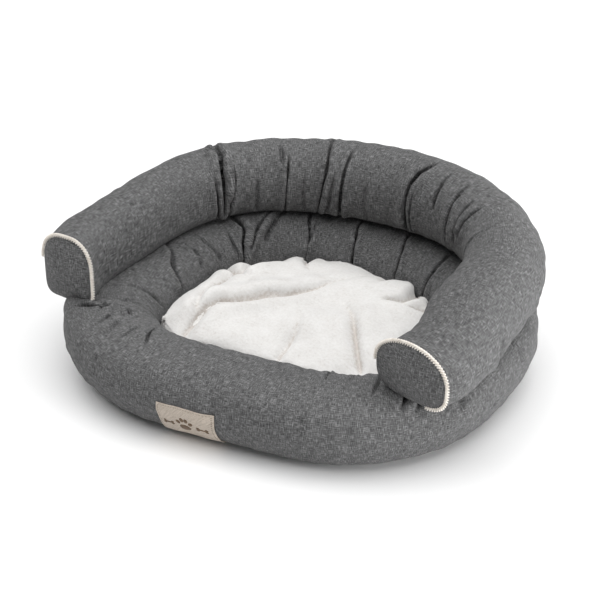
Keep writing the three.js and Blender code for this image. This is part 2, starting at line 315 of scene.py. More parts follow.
def pulled_in(
    folds: list[Fold], along: np.ndarray, turn: np.ndarray, length: float, deep: float, wide: float
) -> np.ndarray:
    """The depth of all the folds of a tube together.

    Args:
        folds: The folds, by share of the tube's length and degrees round its section.
        along: Each point's share of the tube's length.
        turn: Each point's place round the section, in degrees.
        length: The tube's length, in metres.
        deep: What the folds' depths are multiplied by.
        wide: What their widths are multiplied by.

    Returns:
        How far each point is pulled in, in metres.
    """
    along, turn = np.broadcast_arrays(along, turn)
    total = np.zeros(turn.shape)
    for fold in folds:
        middle = sum(point[1] for point in fold.points) / len(fold.points)
        near = (turn - middle + 180) % 360 - 180 + middle
        total += fold.scaled(length, DEGREE, deep, wide).valley(along * length, near * DEGREE)
    return total


# ---- Cloth ----


@dataclass(frozen=True)
class Stuffing:
    """How firmly a cover is filled, for the cloth simulation."""

    pressure: float = 2.5
    frames: int = 22
    cap: float = 0.016  # how far a point may move
    tension: float = 12.0
    bending: float = 0.4
    quality: int = 5
    kept: float = 0.9  # the share of the broad swelling that the cut allows for


def grid_faces(rows: int, columns: int, closed_along: bool) -> list[tuple[int, int, int, int]]:
    """The quads of a grid that is closed round its second axis.

    Args:
        rows: Rows of points.
        columns: Points in each row.
        closed_along: Whether the first axis is closed too.

    Returns:
        The quads, by point number.
    """
    last = rows if closed_along else rows - 1
    faces = []
    for i in range(last):
        a, b = i * columns, ((i + 1) % rows) * columns
        for k in range(columns):
            n = (k + 1) % columns
            faces.append((a + k, b + k, b + n, a + n))
    return faces


def linked(name: str, mesh: bpy.types.Mesh) -> bpy.types.Object:
    """A new object of a mesh, in the scene."""
    piece = bpy.data.objects.new(name, mesh)
    bpy.context.scene.collection.objects.link(piece)
    return piece


def inflated(
    vertices: np.ndarray, faces: list, cut: np.ndarray, sewn: np.ndarray, stuffing: Stuffing
) -> np.ndarray:
    """Fills a cover by cloth simulation.

    Args:
        vertices: The cover as it is sewn into place.
        faces: Its faces, turned outwards.
        cut: The same vertices as the cloth was cut, whose lengths the cloth wants to have.
        sewn: How firmly each vertex is held in place, from 0 to 1.
        stuffing: How the cover is filled.

    Returns:
        How far the filling moves each vertex.
    """
    mesh = bpy.data.meshes.new("work")
    mesh.from_pydata(vertices.tolist(), [], faces)
    work = linked("work", mesh)
    group = work.vertex_groups.new(name="sewn")
    levels = np.round(np.clip(sewn, 0, 1) * 20).astype(int)
    for level in range(1, 21):
        group.add(np.nonzero(levels == level)[0].tolist(), level / 20, "REPLACE")
    work.shape_key_add(name="in place")
    rest = work.shape_key_add(name="cut")
    rest.data.foreach_set("co", cut.astype(np.float32).ravel())
    cloth = work.modifiers.new("Cloth", "CLOTH")
    settings = cloth.settings
    settings.quality = stuffing.quality
    settings.mass = 0.15
    settings.tension_stiffness = settings.compression_stiffness = stuffing.tension
    settings.shear_stiffness = stuffing.tension / 2
    settings.bending_stiffness = stuffing.bending
    settings.tension_damping = settings.compression_damping = settings.shear_damping = 10
    settings.air_damping = 4
    settings.use_pressure = True
    settings.uniform_pressure_force = stuffing.pressure
    settings.vertex_group_mass = "sewn"
    settings.effector_weights.gravity = 0
    settings.rest_shape_key = rest
    cloth.point_cache.frame_start = 1
    cloth.point_cache.frame_end = stuffing.frames
    scene = bpy.context.scene
    for step in range(1, stuffing.frames + 1):
        scene.frame_set(step)
    done = work.evaluated_get(bpy.context.evaluated_depsgraph_get()).to_mesh()
    moved = np.empty(len(vertices) * 3)
    done.vertices.foreach_get("co", moved)
    bpy.data.objects.remove(work)
    bpy.data.meshes.remove(mesh)
    scene.frame_set(1)
    LOG.info("stuffed %d points", len(vertices))
    move = moved.reshape(-1, 3) - vertices
    reach = np.linalg.norm(move, axis=1, keepdims=True)
    return move * (stuffing.cap * np.tanh(reach / stuffing.cap) / (reach + 1e-12))


def wrinkled(
    grid: np.ndarray, cut: np.ndarray, sewn: np.ndarray, stuffing: Stuffing, closed: bool
) -> np.ndarray:
    """A stuffed tube with the wrinkles of its cloth, but not the swelling, since it is cut to its full size.

    Args:
        grid: The tube's points as it is sewn into place.
        cut: The same points as the cloth was cut.
        sewn: How firmly each point is held.
        stuffing: How the tube is filled.
        closed: Whether the tube is a ring.

    Returns:
        The wrinkled tube's points.
    """
    faces = grid_faces(len(grid), grid.shape[1], False)
    move = inflated(grid.reshape(-1, 3), faces, cut.reshape(-1, 3), sewn.ravel(), stuffing)
    move = move.reshape(grid.shape)
    return grid + move - stuffing.kept * spread(move, 9, closed)


def spread(values: np.ndarray, steps: int, closed: bool) -> np.ndarray:
    """Values averaged along the first axis over some steps each way, three times over.

    Args:
        values: The values.
        steps: How many steps each way.
        closed: Whether the first axis is closed.

    Returns:
        The averages.
    """
    mode = "wrap" if closed else "edge"
    for _ in range(3):
        padded = np.pad(values, [(steps, steps)] + [(0, 0)] * (values.ndim - 1), mode=mode)
        total = np.cumsum(np.concatenate([np.zeros_like(padded[:1]), padded]), axis=0)
        values = (total[2 * steps + 1 :] - total[: -2 * steps - 1]) / (2 * steps + 1)
    return values


def grid_piece(name: str, grid: np.ndarray, cut: np.ndarray, closed_along: bool) -> bpy.types.Object:
    """A piece from a grid of points that is closed round its second axis.

    Args:
        name: The piece's name.
        grid: The points, along the piece first and round it second.
        cut: Flat cloth coordinates in metres, one more each closed way than the grid.
        closed_along: Whether the first axis is closed too.

    Returns:
        The piece, with the cloth coordinates as its UV map.
    """
    rows, columns = grid.shape[:2]
    mesh = bpy.data.meshes.new(name)
    mesh.from_pydata(grid.reshape(-1, 3).tolist(), [], grid_faces(rows, columns, closed_along))
    i, k = np.meshgrid(np.arange(rows if closed_along else rows - 1), np.arange(columns), indexing="ij")
    corners = np.stack([cut[i, k], cut[i + 1, k], cut[i + 1, k + 1], cut[i, k + 1]], axis=2)
    mesh.uv_layers.new(name="cloth").data.foreach_set("uv", corners.astype(np.float32).ravel())
    mesh.shade_smooth()
    return linked(name, mesh)


def worn(piece: bpy.types.Object, body: str, slot: str, *nodes: str) -> bpy.types.Object:
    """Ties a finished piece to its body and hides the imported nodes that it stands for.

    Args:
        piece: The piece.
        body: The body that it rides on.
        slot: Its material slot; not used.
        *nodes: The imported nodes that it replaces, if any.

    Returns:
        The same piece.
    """
    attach(piece, body)
    if nodes:
        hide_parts(*nodes)
    LOG.info("%s: %d faces, rides on %s", piece.name, len(piece.data.polygons), body)
    return piece


# ---- Finishes ----


class Shade:
    """A material's node tree, built a node at a time."""

    def __init__(self, name: str, roughness: float, **constants: float | tuple[float, ...]) -> None:
        """Starts a material.

        Args:
            name: The material's name.
            roughness: The shader's roughness.
            **constants: Other values of the shader's sockets, with _ for each space.
        """
        self.material = bpy.data.materials.new(name)
        self.material.use_nodes = True
        self.tree = self.material.node_tree
        self.shader = self.tree.nodes["Principled BSDF"]
        self.shader.inputs["Roughness"].default_value = roughness
        for socket, value in constants.items():
            self.shader.inputs[socket.replace("_", " ")].default_value = value

    def node(self, kind: str, inputs: dict | None = None, **settings: object) -> bpy.types.Node:
        """Adds a node.

        Args:
            kind: The node's type, without its ShaderNode prefix.
            inputs: What each input is set to, or linked to if it is a socket.
            **settings: The node's own properties.

        Returns:
            The node.
        """
        made = self.tree.nodes.new("ShaderNode" + kind)
        for name, value in settings.items():
            setattr(made, name, value)
        for name, value in (inputs or {}).items():
            socket = made.inputs[name]
            if isinstance(value, bpy.types.NodeSocket):
                self.tree.links.new(value, socket)
            else:
                socket.default_value = value
        return made

    def stretched(
        self, source: bpy.types.NodeSocket, sizes: tuple[float, float, float]
    ) -> bpy.types.NodeSocket:
        """Coordinates measured in these sizes, so that a pattern repeats over them."""
        scale = tuple(1 / size for size in sizes)
        return self.node("Mapping", {"Vector": source, "Scale": scale}).outputs["Vector"]

    def noise(
        self, at: bpy.types.NodeSocket, detail: float = 2.0, rough: float = 0.5
    ) -> bpy.types.NodeSocket:
        """A noise over coordinates."""
        inputs = {"Vector": at, "Scale": 1.0, "Detail": detail, "Roughness": rough}
        return self.node("TexNoise", inputs).outputs["Fac"]

    def maths(self, operation: str, *values: bpy.types.NodeSocket | float) -> bpy.types.NodeSocket:
        """A sum of sockets and numbers, by the Math node's operation."""
        return self.node("Math", dict(enumerate(values)), operation=operation).outputs[0]

    def ramp(
        self, by: bpy.types.NodeSocket, *stops: tuple[float, tuple[float, float, float]]
    ) -> bpy.types.NodeSocket:
        """A colour that a value picks.

        Args:
            by: The value.
            *stops: The colours, each with its place before it.

        Returns:
            The colour.
        """
        ramp = self.node("ValToRGB", {"Fac": by})
        elements = ramp.color_ramp.elements
        while len(elements) < len(stops):
            elements.new(0.5)
        for element, (place, colour) in zip(elements, stops):
            element.position = place
            element.color = (*colour, 1)
        return ramp.outputs["Color"]

    def dress(
        self,
        piece: bpy.types.Object,
        colour: bpy.types.NodeSocket,
        height: bpy.types.NodeSocket,
        relief: float,
    ) -> None:
        """Gives a piece this material.

        Args:
            piece: The piece.
            colour: Its colour.
            height: Its fine relief, from 0 to 1.
            relief: How deep that relief is, in metres.
        """
        bump = self.node("Bump", {"Height": height, "Distance": relief, "Strength": 1.0})
        self.tree.links.new(colour, self.shader.inputs["Base Color"])
        self.tree.links.new(bump.outputs["Normal"], self.shader.inputs["Normal"])
        piece.data.materials.clear()
        piece.data.materials.append(self.material)


@dataclass(frozen=True)
class Melange:
    """A woven cloth of mixed dark and light yarns, with slubs along both threads."""

    name: str = "grey_melange"
    dark: tuple[float, float, float] = (0.045, 0.045, 0.045)
    body: tuple[float, float, float] = (0.118, 0.118, 0.119)
    light: tuple[float, float, float] = (0.34, 0.34, 0.343)
    thread: float = 0.0008
    slub: float = 0.0085
    relief: float = 0.00035

    def dress(self, piece: bpy.types.Object) -> None:
        """Gives a piece this cloth."""
        shade = Shade(self.name, 0.92, Sheen_Weight=0.06, Sheen_Roughness=0.5, Specular_IOR_Level=0.12)
        at = shade.node("UVMap", uv_map="cloth").outputs["UV"]
        warp = shade.noise(shade.stretched(at, (self.thread, self.slub, 1)))
        weft = shade.noise(shade.stretched(at, (self.slub, self.thread, 1)))
        heather = shade.noise(shade.stretched(at, (0.016, 0.016, 1)), 3.0, 0.6)
        yarns = shade.maths("MAXIMUM", warp, weft)
        threads = shade.maths("MULTIPLY", shade.maths("ADD", warp, weft), 0.3)
        mixed = shade.maths("MULTIPLY_ADD", yarns, 0.5, threads)
        value = shade.maths("MULTIPLY_ADD", heather, 0.06, mixed)
        colour = shade.ramp(value, (0.46, self.dark), (0.62, self.body), (0.84, self.light))
        shade.dress(piece, colour, shade.maths("ADD", threads, warp), self.relief)


@dataclass(frozen=True)
class Plush:
    """A short soft pile that lies in small tufts, with painted shade in its creases."""

    name: str = "cream_plush"
    # The darkest colour: painted shade, which the pile is darkened towards in its creases.
    painted_shade: tuple[float, float, float] = (0.54, 0.50, 0.465)
    body: tuple[float, float, float] = (0.70, 0.685, 0.665)
    tip: tuple[float, float, float] = (0.77, 0.76, 0.745)
    tuft: float = 0.0035
    relief: float = 0.0011

    def dress(self, piece: bpy.types.Object) -> None:
        """Gives a piece this plush."""
        shade = Shade(self.name, 1.0, Sheen_Weight=0.35, Sheen_Roughness=0.6, Specular_IOR_Level=0.05)
        at = shade.node("TexCoord").outputs["Object"]
        tufts = shade.noise(shade.stretched(at, (self.tuft,) * 3), 4.0, 0.65)
        swirl = shade.noise(shade.stretched(at, (0.022,) * 3), 2.0)
        value = shade.maths("MULTIPLY_ADD", swirl, 0.35, shade.maths("MULTIPLY", tufts, 0.65))
        # Painted shade: the pile is darkened by the depth of the cushion's creases.
        crease = shade.node("Attribute", attribute_name="crease").outputs["Fac"]
        value = shade.maths("MULTIPLY_ADD", crease, -0.24, value)
        colour = shade.ramp(value, (0.22, self.painted_shade), (0.42, self.body), (0.62, self.tip))
        shade.dress(piece, colour, tufts, self.relief)


@dataclass(frozen=True)
class Yarn:
    """A cord's twisted yarn, with fibres along it."""

    name: str = "cream_yarn"
    dark: tuple[float, float, float] = (0.66, 0.60, 0.53)
    light: tuple[float, float, float] = (0.95, 0.91, 0.85)
    fibre: float = 0.0006
    relief: float = 0.0003

    def dress(self, piece: bpy.types.Object) -> None:
        """Gives a piece this yarn."""
        shade = Shade(self.name, 0.8, Sheen_Weight=0.2, Specular_IOR_Level=0.2)
        at = shade.node("TexCoord").outputs["Object"]
        fibres = shade.noise(shade.stretched(at, (self.fibre,) * 3), 3.0, 0.6)
        soil = shade.noise(shade.stretched(at, (0.006,) * 3))
        value = shade.maths("MULTIPLY_ADD", soil, 0.4, shade.maths("MULTIPLY", fibres, 0.6))
        shade.dress(piece, shade.ramp(value, (0.35, self.dark), (0.62, self.light)), fibres, self.relief)


@dataclass(frozen=True)
class Twill:
    """A close cloth with slanting ribs."""

    name: str = "patch_twill"
    dark: tuple[float, float, float] = (0.40, 0.345, 0.29)
    light: tuple[float, float, float] = (0.56, 0.49, 0.42)
    rib: float = 0.0011
    relief: float = 0.00018

    def dress(self, piece: bpy.types.Object) -> None:
        """Gives a piece this twill."""
        shade = Shade(self.name, 0.85, Sheen_Weight=0.1, Specular_IOR_Level=0.2)
        at = shade.node("UVMap", uv_map="cloth").outputs["UV"]
        turned = shade.node("Mapping", {"Vector": at, "Rotation": (0, 0, math.radians(40))}).outputs["Vector"]
        ribs = shade.noise(shade.stretched(turned, (self.rib, 0.02, 1)), 1.0)
        grain = shade.noise(shade.stretched(at, (0.002, 0.002, 1)), 3.0, 0.6)
        value = shade.maths("MULTIPLY_ADD", grain, 0.5, shade.maths("MULTIPLY", ribs, 0.5))
        shade.dress(piece, shade.ramp(value, (0.38, self.dark), (0.60, self.light)), ribs, self.relief)


@dataclass(frozen=True)
class Fibre:
    """Loose stuffing."""

    name: str = "white_fibre"
    dark: tuple[float, float, float] = (0.72, 0.71, 0.69)
    light: tuple[float, float, float] = (0.92, 0.91, 0.89)

    def dress(self, piece: bpy.types.Object) -> None:
        """Gives a piece this stuffing."""
        shade = Shade(self.name, 1.0, Sheen_Weight=0.3, Specular_IOR_Level=0.05)
        at = shade.node("TexCoord").outputs["Object"]
        lumps = shade.noise(shade.stretched(at, (0.009,) * 3), 6.0, 0.7)
        shade.dress(piece, shade.ramp(lumps, (0.3, self.dark), (0.65, self.light)), lumps, 0.004)


@dataclass(frozen=True)
class Rubber:
    """The small grip dots underneath."""

    name: str = "grip_rubber"
    dark: tuple[float, float, float] = (0.012, 0.012, 0.013)
    light: tuple[float, float, float] = (0.03, 0.03, 0.032)

    def dress(self, piece: bpy.types.Object) -> None:
        """Gives a piece this rubber."""
        shade = Shade(self.name, 0.55, Specular_IOR_Level=0.4)
        at = shade.node("TexCoord").outputs["Object"]
        dust = shade.noise(shade.stretched(at, (0.004,) * 3), 4.0, 0.6)
        shade.dress(piece, shade.ramp(dust, (0.35, self.dark), (0.7, self.light)), dust, 0.0001)


GREY = Melange()
BASE_CLOTH = Melange(
    "base_cloth", (0.010, 0.010, 0.011), (0.028, 0.028, 0.030), (0.06, 0.06, 0.063), 0.0008, 0.006
)
LINING = Melange("lining_cloth", (0.03, 0.03, 0.031), (0.07, 0.07, 0.072), (0.12, 0.12, 0.122), 0.0007, 0.005)
PLUSH, YARN, TWILL, FIBRE, RUBBER = Plush(), Yarn(), Twill(), Fibre(), Rubber()


# ---- The bed ----


@dataclass
class StuffedWall:
    """The oval ring that stands round the well."""

    plan: Plan
    front_height: float = 0.101
    back_height: float = 0.113
    thickness: float = 0.126
    roundness: float = 3.2
    lower_roundness: float = 4.0
    inner_roundness: float = 2.1
    tuck: float = 0.020
    slim: float = 0.009  # how far the outer face is drawn in at the front right
    foot: float = 0.0016
    cut_at: float = 45.0  # the plan angle of the seam that closes the ring, in degrees
    rows: int = 280
    columns: int = 76
    stuffing: Stuffing = field(default_factory=lambda: Stuffing(pressure=2.5, cap=0.012))

    def height(self, y: np.ndarray) -> np.ndarray:
        """The wall's height over a point of the plan: it rises towards the back."""
        front = np.clip((1 - y / self.plan.half_depth) / 2, 0, 1)
        return self.back_height + (self.front_height - self.back_height) * front**1.5

    def drawn_in(self, angle: np.ndarray) -> np.ndarray:
        """How far the outer face is drawn in at plan angles, in radians."""
        off = (np.degrees(angle) - 322 + 180) % 360 - 180
        return self.slim * np.exp(-((off / 26) ** 2))

    def squared(self, angle: np.ndarray) -> np.ndarray:
        """How much squarer the outer shoulder is at plan angles: most under the roll's left end."""
        off = (np.degrees(angle) - 208 + 180) % 360 - 180
        return self.roundness + 3.5 * np.exp(-((off / 17) ** 2))

    def section(self, height: float, slim: float = 0.0, shoulder: float = 3.2) -> np.ndarray:
        """The closed section, from the outer foot over the top to the inner foot and back under it.

        Args:
            height: The wall's height.
            slim: How far the outer face is drawn in.
            shoulder: How square the outer shoulder is.

        Returns:
            The points, as (outwards, up).
        """
        a = np.radians(np.linspace(-66, 253, 400))
        c, s = np.cos(a), np.sin(a)
        roundness = np.where(s > 0, np.where(c < 0, self.inner_roundness, shoulder), self.lower_roundness)
        side, rise = signed_power(c, 2 / roundness), signed_power(s, 2 / roundness)
        half = self.thickness / 2
        tuck = np.where((rise < 0) & (side > 0), self.tuck * np.abs(rise), 0) + slim * (1 + side) / 2
        inner = (rise < 0) & (side < 0)
        side = np.where(inner, -1 + 0.06 * rise**4, side)
        line = np.stack([-half + half * side - tuck, self.foot + (height - self.foot) * (1 + rise) / 2], 1)
        line[[0, -1], 1] = self.foot
        loop = np.concatenate([line, line[:1]])
        length = np.concatenate([[0], np.cumsum(np.linalg.norm(np.diff(loop, axis=0), axis=1))])
        wanted = np.arange(self.columns) / self.columns * length[-1]
        return np.stack([np.interp(wanted, length, loop[:, k]) for k in range(2)], 1)

    def top(self, outwards: np.ndarray, height: np.ndarray) -> np.ndarray:
        """The height of the wall's upper face.

        Args:
            outwards: Distances outwards from the outline.
            height: The wall's height there.

        Returns:
            The height of its face, or 0 beside the wall.
        """
        half = self.thickness / 2
        side = (outwards + half) / half
        roundness = np.where(side < 0, self.inner_roundness, self.roundness)
        rise = np.clip(1 - np.abs(side) ** roundness, 0, 1) ** (1 / roundness)
        return np.where(np.abs(side) < 1, self.foot + (height - self.foot) * (1 + rise) / 2, 0)

    def share(self, angle: float) -> float:
        """The share of the ring's length at a plan angle, in degrees."""
        start = math.radians(self.cut_at)
        fine = self.plan.even_angles(start, start + math.tau, 2001)
        wanted = (math.radians(angle) - start) % math.tau + start
        return float(np.interp(wanted, fine, np.linspace(0, 1, 2001)))

    def fold(self, depth: float, width: float, *points: tuple[float, float], lean: float = 0.0) -> Fold:
        """A fold through points of (plan angle, degrees round the section)."""
        return Fold(tuple((self.share(angle), turn) for angle, turn in points), depth, width, lean)

    def folds(self) -> list[Fold]:
        """The folds that show, and the others that such a seam gathers."""
        make = self.fold
        inner = [
            make(0.024, 0.0050, (144.5, 88), (144.5, 100), (143, 118), (146, 140), (148.5, 170), lean=0.2),
            make(0.014, 0.0036, (127.5, 88), (132, 105), (138, 125), (144.5, 150), lean=0.2),
            make(0.010, 0.0055, (124.5, 92), (128.5, 112), (135, 140), lean=-0.2),
            make(0.008, 0.0030, (150, 104), (151, 130), (150, 165)),
            make(0.016, 0.0034, (112.5, 88), (113.5, 110), (112, 135), (113.5, 175)),
            make(0.010, 0.0030, (110, 104), (110.5, 130), (112.5, 160)),
            make(0.018, 0.0036, (94.5, 88), (95, 110), (93.5, 135), (92.5, 178)),
            make(0.017, 0.0036, (79, 88), (78, 110), (75.5, 135), (73.5, 178)),
            make(0.012, 0.0040, (60, 90), (58, 120), (56, 175)),
            make(0.014, 0.0036, (40, 90), (37, 120), (35, 178)),
            make(0.012, 0.0036, (15, 90), (14, 130), (12, 178)),
            make(0.010, 0.0036, (-7, 90), (-8, 130), (-9, 178)),
            make(0.007, 0.0060, (164, 92), (163, 120), (160, 150)),
            make(0.016, 0.0042, (175, 88), (178, 105), (182, 125), (184, 160), lean=-0.3),
            make(0.007, 0.0050, (172, 96), (170, 125), (173, 150)),
            make(0.007, 0.0060, (197, 100), (196, 125), (195, 150)),
        ]
        front = [
            make(0.013, 0.0042, (212.5, 52), (214, 62), (216.5, 86), lean=0.3),
            make(0.006, 0.0034, (209, 60), (213, 74), (215, 84)),
            make(0.008, 0.0036, (214.5, 96), (219, 99), (224.5, 108), lean=-0.3),
            make(0.006, 0.0040, (234.5, 56), (232, 72), (228.5, 88)),
            make(0.005, 0.0036, (229, 52), (226, 68), (223, 88)),
            make(0.005, 0.0040, (239, 62), (237.5, 80), (235.5, 100)),
            make(0.006, 0.0026, (226, 74), (222, 86), (217.5, 92)),
            make(0.005, 0.0026, (221, 64), (218, 76), (215.5, 80)),
            make(0.007, 0.0030, (229, 112), (225, 106), (220, 104)),
            make(0.005, 0.0030, (212, 100), (209, 112), (206, 120)),
            make(0.010, 0.0030, (248.5, 66), (246, 84), (242.5, 102), (240.5, 122)),
            make(0.004, 0.0050, (263, 84), (261, 104), (259, 130)),
            make(0.0055, 0.0050, (279.5, 78), (277.5, 100), (274.5, 128)),
            make(0.0045, 0.0045, (284.5, 82), (283, 104), (281, 126)),
            make(0.012, 0.0026, (290.5, 98), (290, 116), (289.5, 150)),
            make(0.0045, 0.0050, (298, 80), (300, 104), (302, 130)),
            make(0.007, 0.0045, (307, 66), (310, 84), (315, 112)),
            make(0.010, 0.0036, (316, 48), (319, 62), (323, 84), lean=0.2),
            make(0.008, 0.0036, (321, 44), (324, 58), (327, 78), lean=0.2),
        ]
        outer = [
            make(0.0045, 0.007, (angle, 12), (angle + 1, 40), (angle - 1, 72))
            for angle in (-24, 2, 31, 66, 88, 121, 152, 184, 202)
        ]
        return inner + front + outer

    def build(self) -> Skin:
        """Stuffs the wall's cover."""
        start = math.radians(self.cut_at)
        angles = self.plan.even_angles(start, start + math.tau, self.rows + 1)
        spine = Spine.along_plan(self.plan, angles)
        heights = self.height(self.plan.raw(angles)[:, 1])
        shapes = zip(heights, self.drawn_in(angles), self.squared(angles))
        section = np.stack([self.section(*shape) for shape in shapes])
        grid = spine.place(section)
        share, length = np.linspace(0, 1, self.rows + 1)[:, None], ring_length(spine.point)
        half = heights[:, None] / 2
        across = section[..., 0] / (self.thickness / 2) + 1
        turn = np.degrees(np.arctan2((section[..., 1] - half) / half, across)) % 360
        seed = pulled_in(self.folds(), share, turn, length, 0.5, 1.0)
        free = np.clip((section[..., 1] - 0.004) / 0.02, 0, 1)
        grid -= grid_normals(grid, False) * (seed * free)[..., None]
        cut = spine.opened(0.62, 1.07).place(section)
        sewn = 1 - free
        sewn[[0, -1]] = 1
        grid = wrinkled(grid, cut, sewn, self.stuffing, False)
        return Skin(grid[:-1], length, True).finished(self.folds(), turn[:-1], free[:-1], 0.6, 21)


def ring_length(points: np.ndarray) -> float:
    """The length of a line of points."""
    return float(np.linalg.norm(np.diff(points, axis=0), axis=1).sum())


@dataclass
class Skin:
    """A filled cover as a grid of points, along it first and round it second."""

    grid: np.ndarray
    length: float
    closed: bool

    def finished(
        self, folds: list[Fold], turn: np.ndarray, free: np.ndarray, sharp: float, seed: int
    ) -> Skin:
        """The cover with a finer grid, its folds drawn in sharply and a little unevenness.

        Args:
            folds: The folds.
            turn: Each grid point's place round the section, in degrees.
            free: How freely each point may move, from 0 to 1.
            sharp: The share of each fold's depth that is drawn in now.
            seed: Which unevenness.

        Returns:
            The finished cover.
        """
        around = np.stack([np.cos(np.radians(turn)), np.sin(np.radians(turn)), free], -1)
        grid, around = refined(self.grid, self.closed), refined(around, self.closed)
        grid, around = doubled(grid, self.closed), doubled(around, self.closed)
        turn = np.degrees(np.arctan2(around[..., 1], around[..., 0])) % 360
        rows = len(grid)
        share = (np.arange(rows) / (rows if self.closed else rows - 1))[:, None]
        depth = pulled_in(folds, share, turn, self.length, sharp, 0.6)
        way = math.tau * share
        round_way = self.length / math.tau
        across = np.radians(turn) * 0.05
        x, y = np.cos(way) * round_way * 2, np.sin(way) * round_way * 2 + across
        uneven = 0.0007 * ripple(x, y, 0.07, seed)
        uneven = uneven + 0.00035 * ripple(share * self.length * 1.0, across, 0.022, seed + 1, 14)
        shift = (uneven - depth) * np.clip(around[..., 2], 0, 1)
        grid = grid + grid_normals(grid, self.closed) * shift[..., None]
        return Skin(grid, self.length, self.closed)

    def cut(self) -> np.ndarray:
        """Flat cloth coordinates for the grid, in metres."""
        rows, columns = self.grid.shape[:2]
        along = np.linspace(0, self.length, rows + 1 if self.closed else rows)
        girth = ring_length(np.concatenate([self.grid[rows // 3], self.grid[rows // 3][:1]]))
        around = np.linspace(0, girth, columns + 1)
        return np.stack(np.meshgrid(along, around, indexing="ij"), -1)

    def piece(self, name: str) -> bpy.types.Object:
        """The cover as a piece."""
        return grid_piece(name, self.grid, self.cut(), self.closed)


@dataclass
class BackRoll:
    """The C-shaped roll that lies on the wall round the left, the back and the right."""

    plan: Plan
    wall: StuffedWall
    start: float = -40.0
    end: float = 207.0
    right_yaw: float = 29.0
    left_yaw: float = 28.0
    yaw_reach: float = 0.08
    # From the right end to the left: how far the middle lies inside the plan, its height, and the half sizes.
    stations: tuple[tuple[float, float, float, float], ...] = (
        (0.022, 0.142, 0.053, 0.037),
        (0.052, 0.152, 0.056, 0.044),
        (0.049, 0.158, 0.052, 0.046),
        (0.043, 0.164, 0.050, 0.050),
        (0.045, 0.164, 0.051, 0.052),
        (0.047, 0.160, 0.047, 0.050),
        (0.038, 0.158, 0.043, 0.049),
        (0.032, 0.151, 0.038, 0.047),
        (0.008, 0.142, 0.038, 0.045),
    )
    rows: int = 260
    columns: int = 64
    stuffing: Stuffing = field(default_factory=lambda: Stuffing(pressure=2.5, cap=0.014))

    @staticmethod
    def folds() -> list[Fold]:
        """The folds that show, and the others that such a bend gathers."""
        deep = [
            Fold(((0.742, 58), (0.744, 80), (0.749, 118), (0.755, 154), (0.756, 215)), 0.024, 0.0052, 0.2),
            Fold(((0.736, 130), (0.740, 165), (0.747, 190), (0.749, 232)), 0.014, 0.0038),
            Fold(((0.770, 150), (0.768, 180), (0.764, 225)), 0.013, 0.0036),
            Fold(((0.757, 66), (0.753, 84), (0.750, 104)), 0.009, 0.0036),
            Fold(((0.650, 122), (0.650, 140), (0.653, 180), (0.658, 236)), 0.015, 0.0034),
            Fold(((0.663, 96), (0.661, 113), (0.659, 140)), 0.008, 0.0050),
            Fold(((0.588, 62), (0.589, 80), (0.586, 120), (0.586, 164), (0.603, 236)), 0.017, 0.0038, 0.2),
            Fold(((0.555, 96), (0.556, 119), (0.558, 154), (0.562, 200), (0.567, 242)), 0.017, 0.0038),
            Fold(((0.571, 150), (0.575, 180), (0.588, 222)), 0.007, 0.0040),
            Fold(((0.446, 84), (0.448, 102), (0.456, 133), (0.457, 170), (0.457, 222)), 0.020, 0.0042, -0.2),
            Fold(((0.445, 140), (0.448, 175), (0.449, 225)), 0.009, 0.0030),
            Fold(((0.415, 98), (0.410, 128), (0.404, 165)), 0.011, 0.0036),
            Fold(((0.379, 94), (0.375, 130), (0.370, 176), (0.372, 215)), 0.015, 0.0036),
            Fold(((0.350, 104), (0.347, 140), (0.348, 190)), 0.009, 0.0036),
            Fold(((0.327, 110), (0.329, 140), (0.331, 175)), 0.010, 0.0038),
            Fold(((0.272, 110), (0.272, 150), (0.270, 190)), 0.007, 0.0042),
        ]
        soft = [
            Fold(((share, 150), (share + 0.002, 180), (share + 0.001, 225)), 0.005, 0.0045)
            for share in (0.522, 0.622, 0.703, 0.20)
        ]
        outer = [
            Fold(((share, 372), (share + 0.002, 340), (share, 310)), 0.007, 0.005)
            for share in (0.10, 0.21, 0.33, 0.41, 0.50, 0.57, 0.66, 0.77, 0.88)
        ]
        return deep + soft + outer

    def build(self) -> Skin:
        """Stuffs the roll's cover, open at both ends."""
        angles = self.plan.even_angles(math.radians(self.start), math.radians(self.end), self.rows)
        share = np.linspace(0, 1, self.rows)
        place = share * (len(self.stations) - 1)
        inset, height, wide, high = smooth_row(np.array(self.stations), place, False).T
        right = np.clip(1 - share / self.yaw_reach, 0, 1) ** 2
        left = np.clip(1 - (1 - share) / self.yaw_reach, 0, 1) ** 2
        yaw = math.radians(self.right_yaw) * right - math.radians(self.left_yaw) * left
        spine = Spine.along_plan(self.plan, angles).turned(yaw, inset)
        a = np.linspace(0, math.tau, self.columns, endpoint=False)
        arch = np.clip(1 - (1 - share) / 0.30, 0, 1)[:, None] ** 1.5
        foot = np.clip(1 - share / 0.30, 0, 1)[:, None] ** 1.5
        fullness = np.where(np.sin(a) > 0, 2.1 + 0.5 * arch, 2.4 + 3.4 * arch + 0.8 * foot)
        outwards = -inset[:, None] + wide[:, None] * signed_power(np.cos(a)[None, :], 2 / fullness)
        z = height[:, None] + high[:, None] * signed_power(np.sin(a)[None, :], 2 / fullness)
        floor = self.wall.top(outwards, self.wall.height(self.plan.raw(angles)[:, 1])[:, None])
        section = np.stack([outwards, np.maximum(z, floor)], -1)
        grid = spine.place(section)
        turn = np.broadcast_to(np.degrees(a), z.shape)
        length = ring_length(spine.point - spine.out * inset[:, None])
        from_end = np.clip(np.minimum(share, 1 - share) / 0.02, 0, 1)[:, None]
        free = np.clip((z - floor - 0.001) / 0.012, 0, 1) * from_end
        seed = pulled_in(self.folds(), share[:, None], turn, length, 0.5, 1.0)
        grid -= grid_normals(grid, False) * (seed * free)[..., None]
        cut = spine.opened(0.55, 1.08).place(section)
        grid = wrinkled(grid, cut, 1 - free, self.stuffing, False)
        return Skin(grid, length, False).finished(self.folds(), turn, free, 0.6, 5)

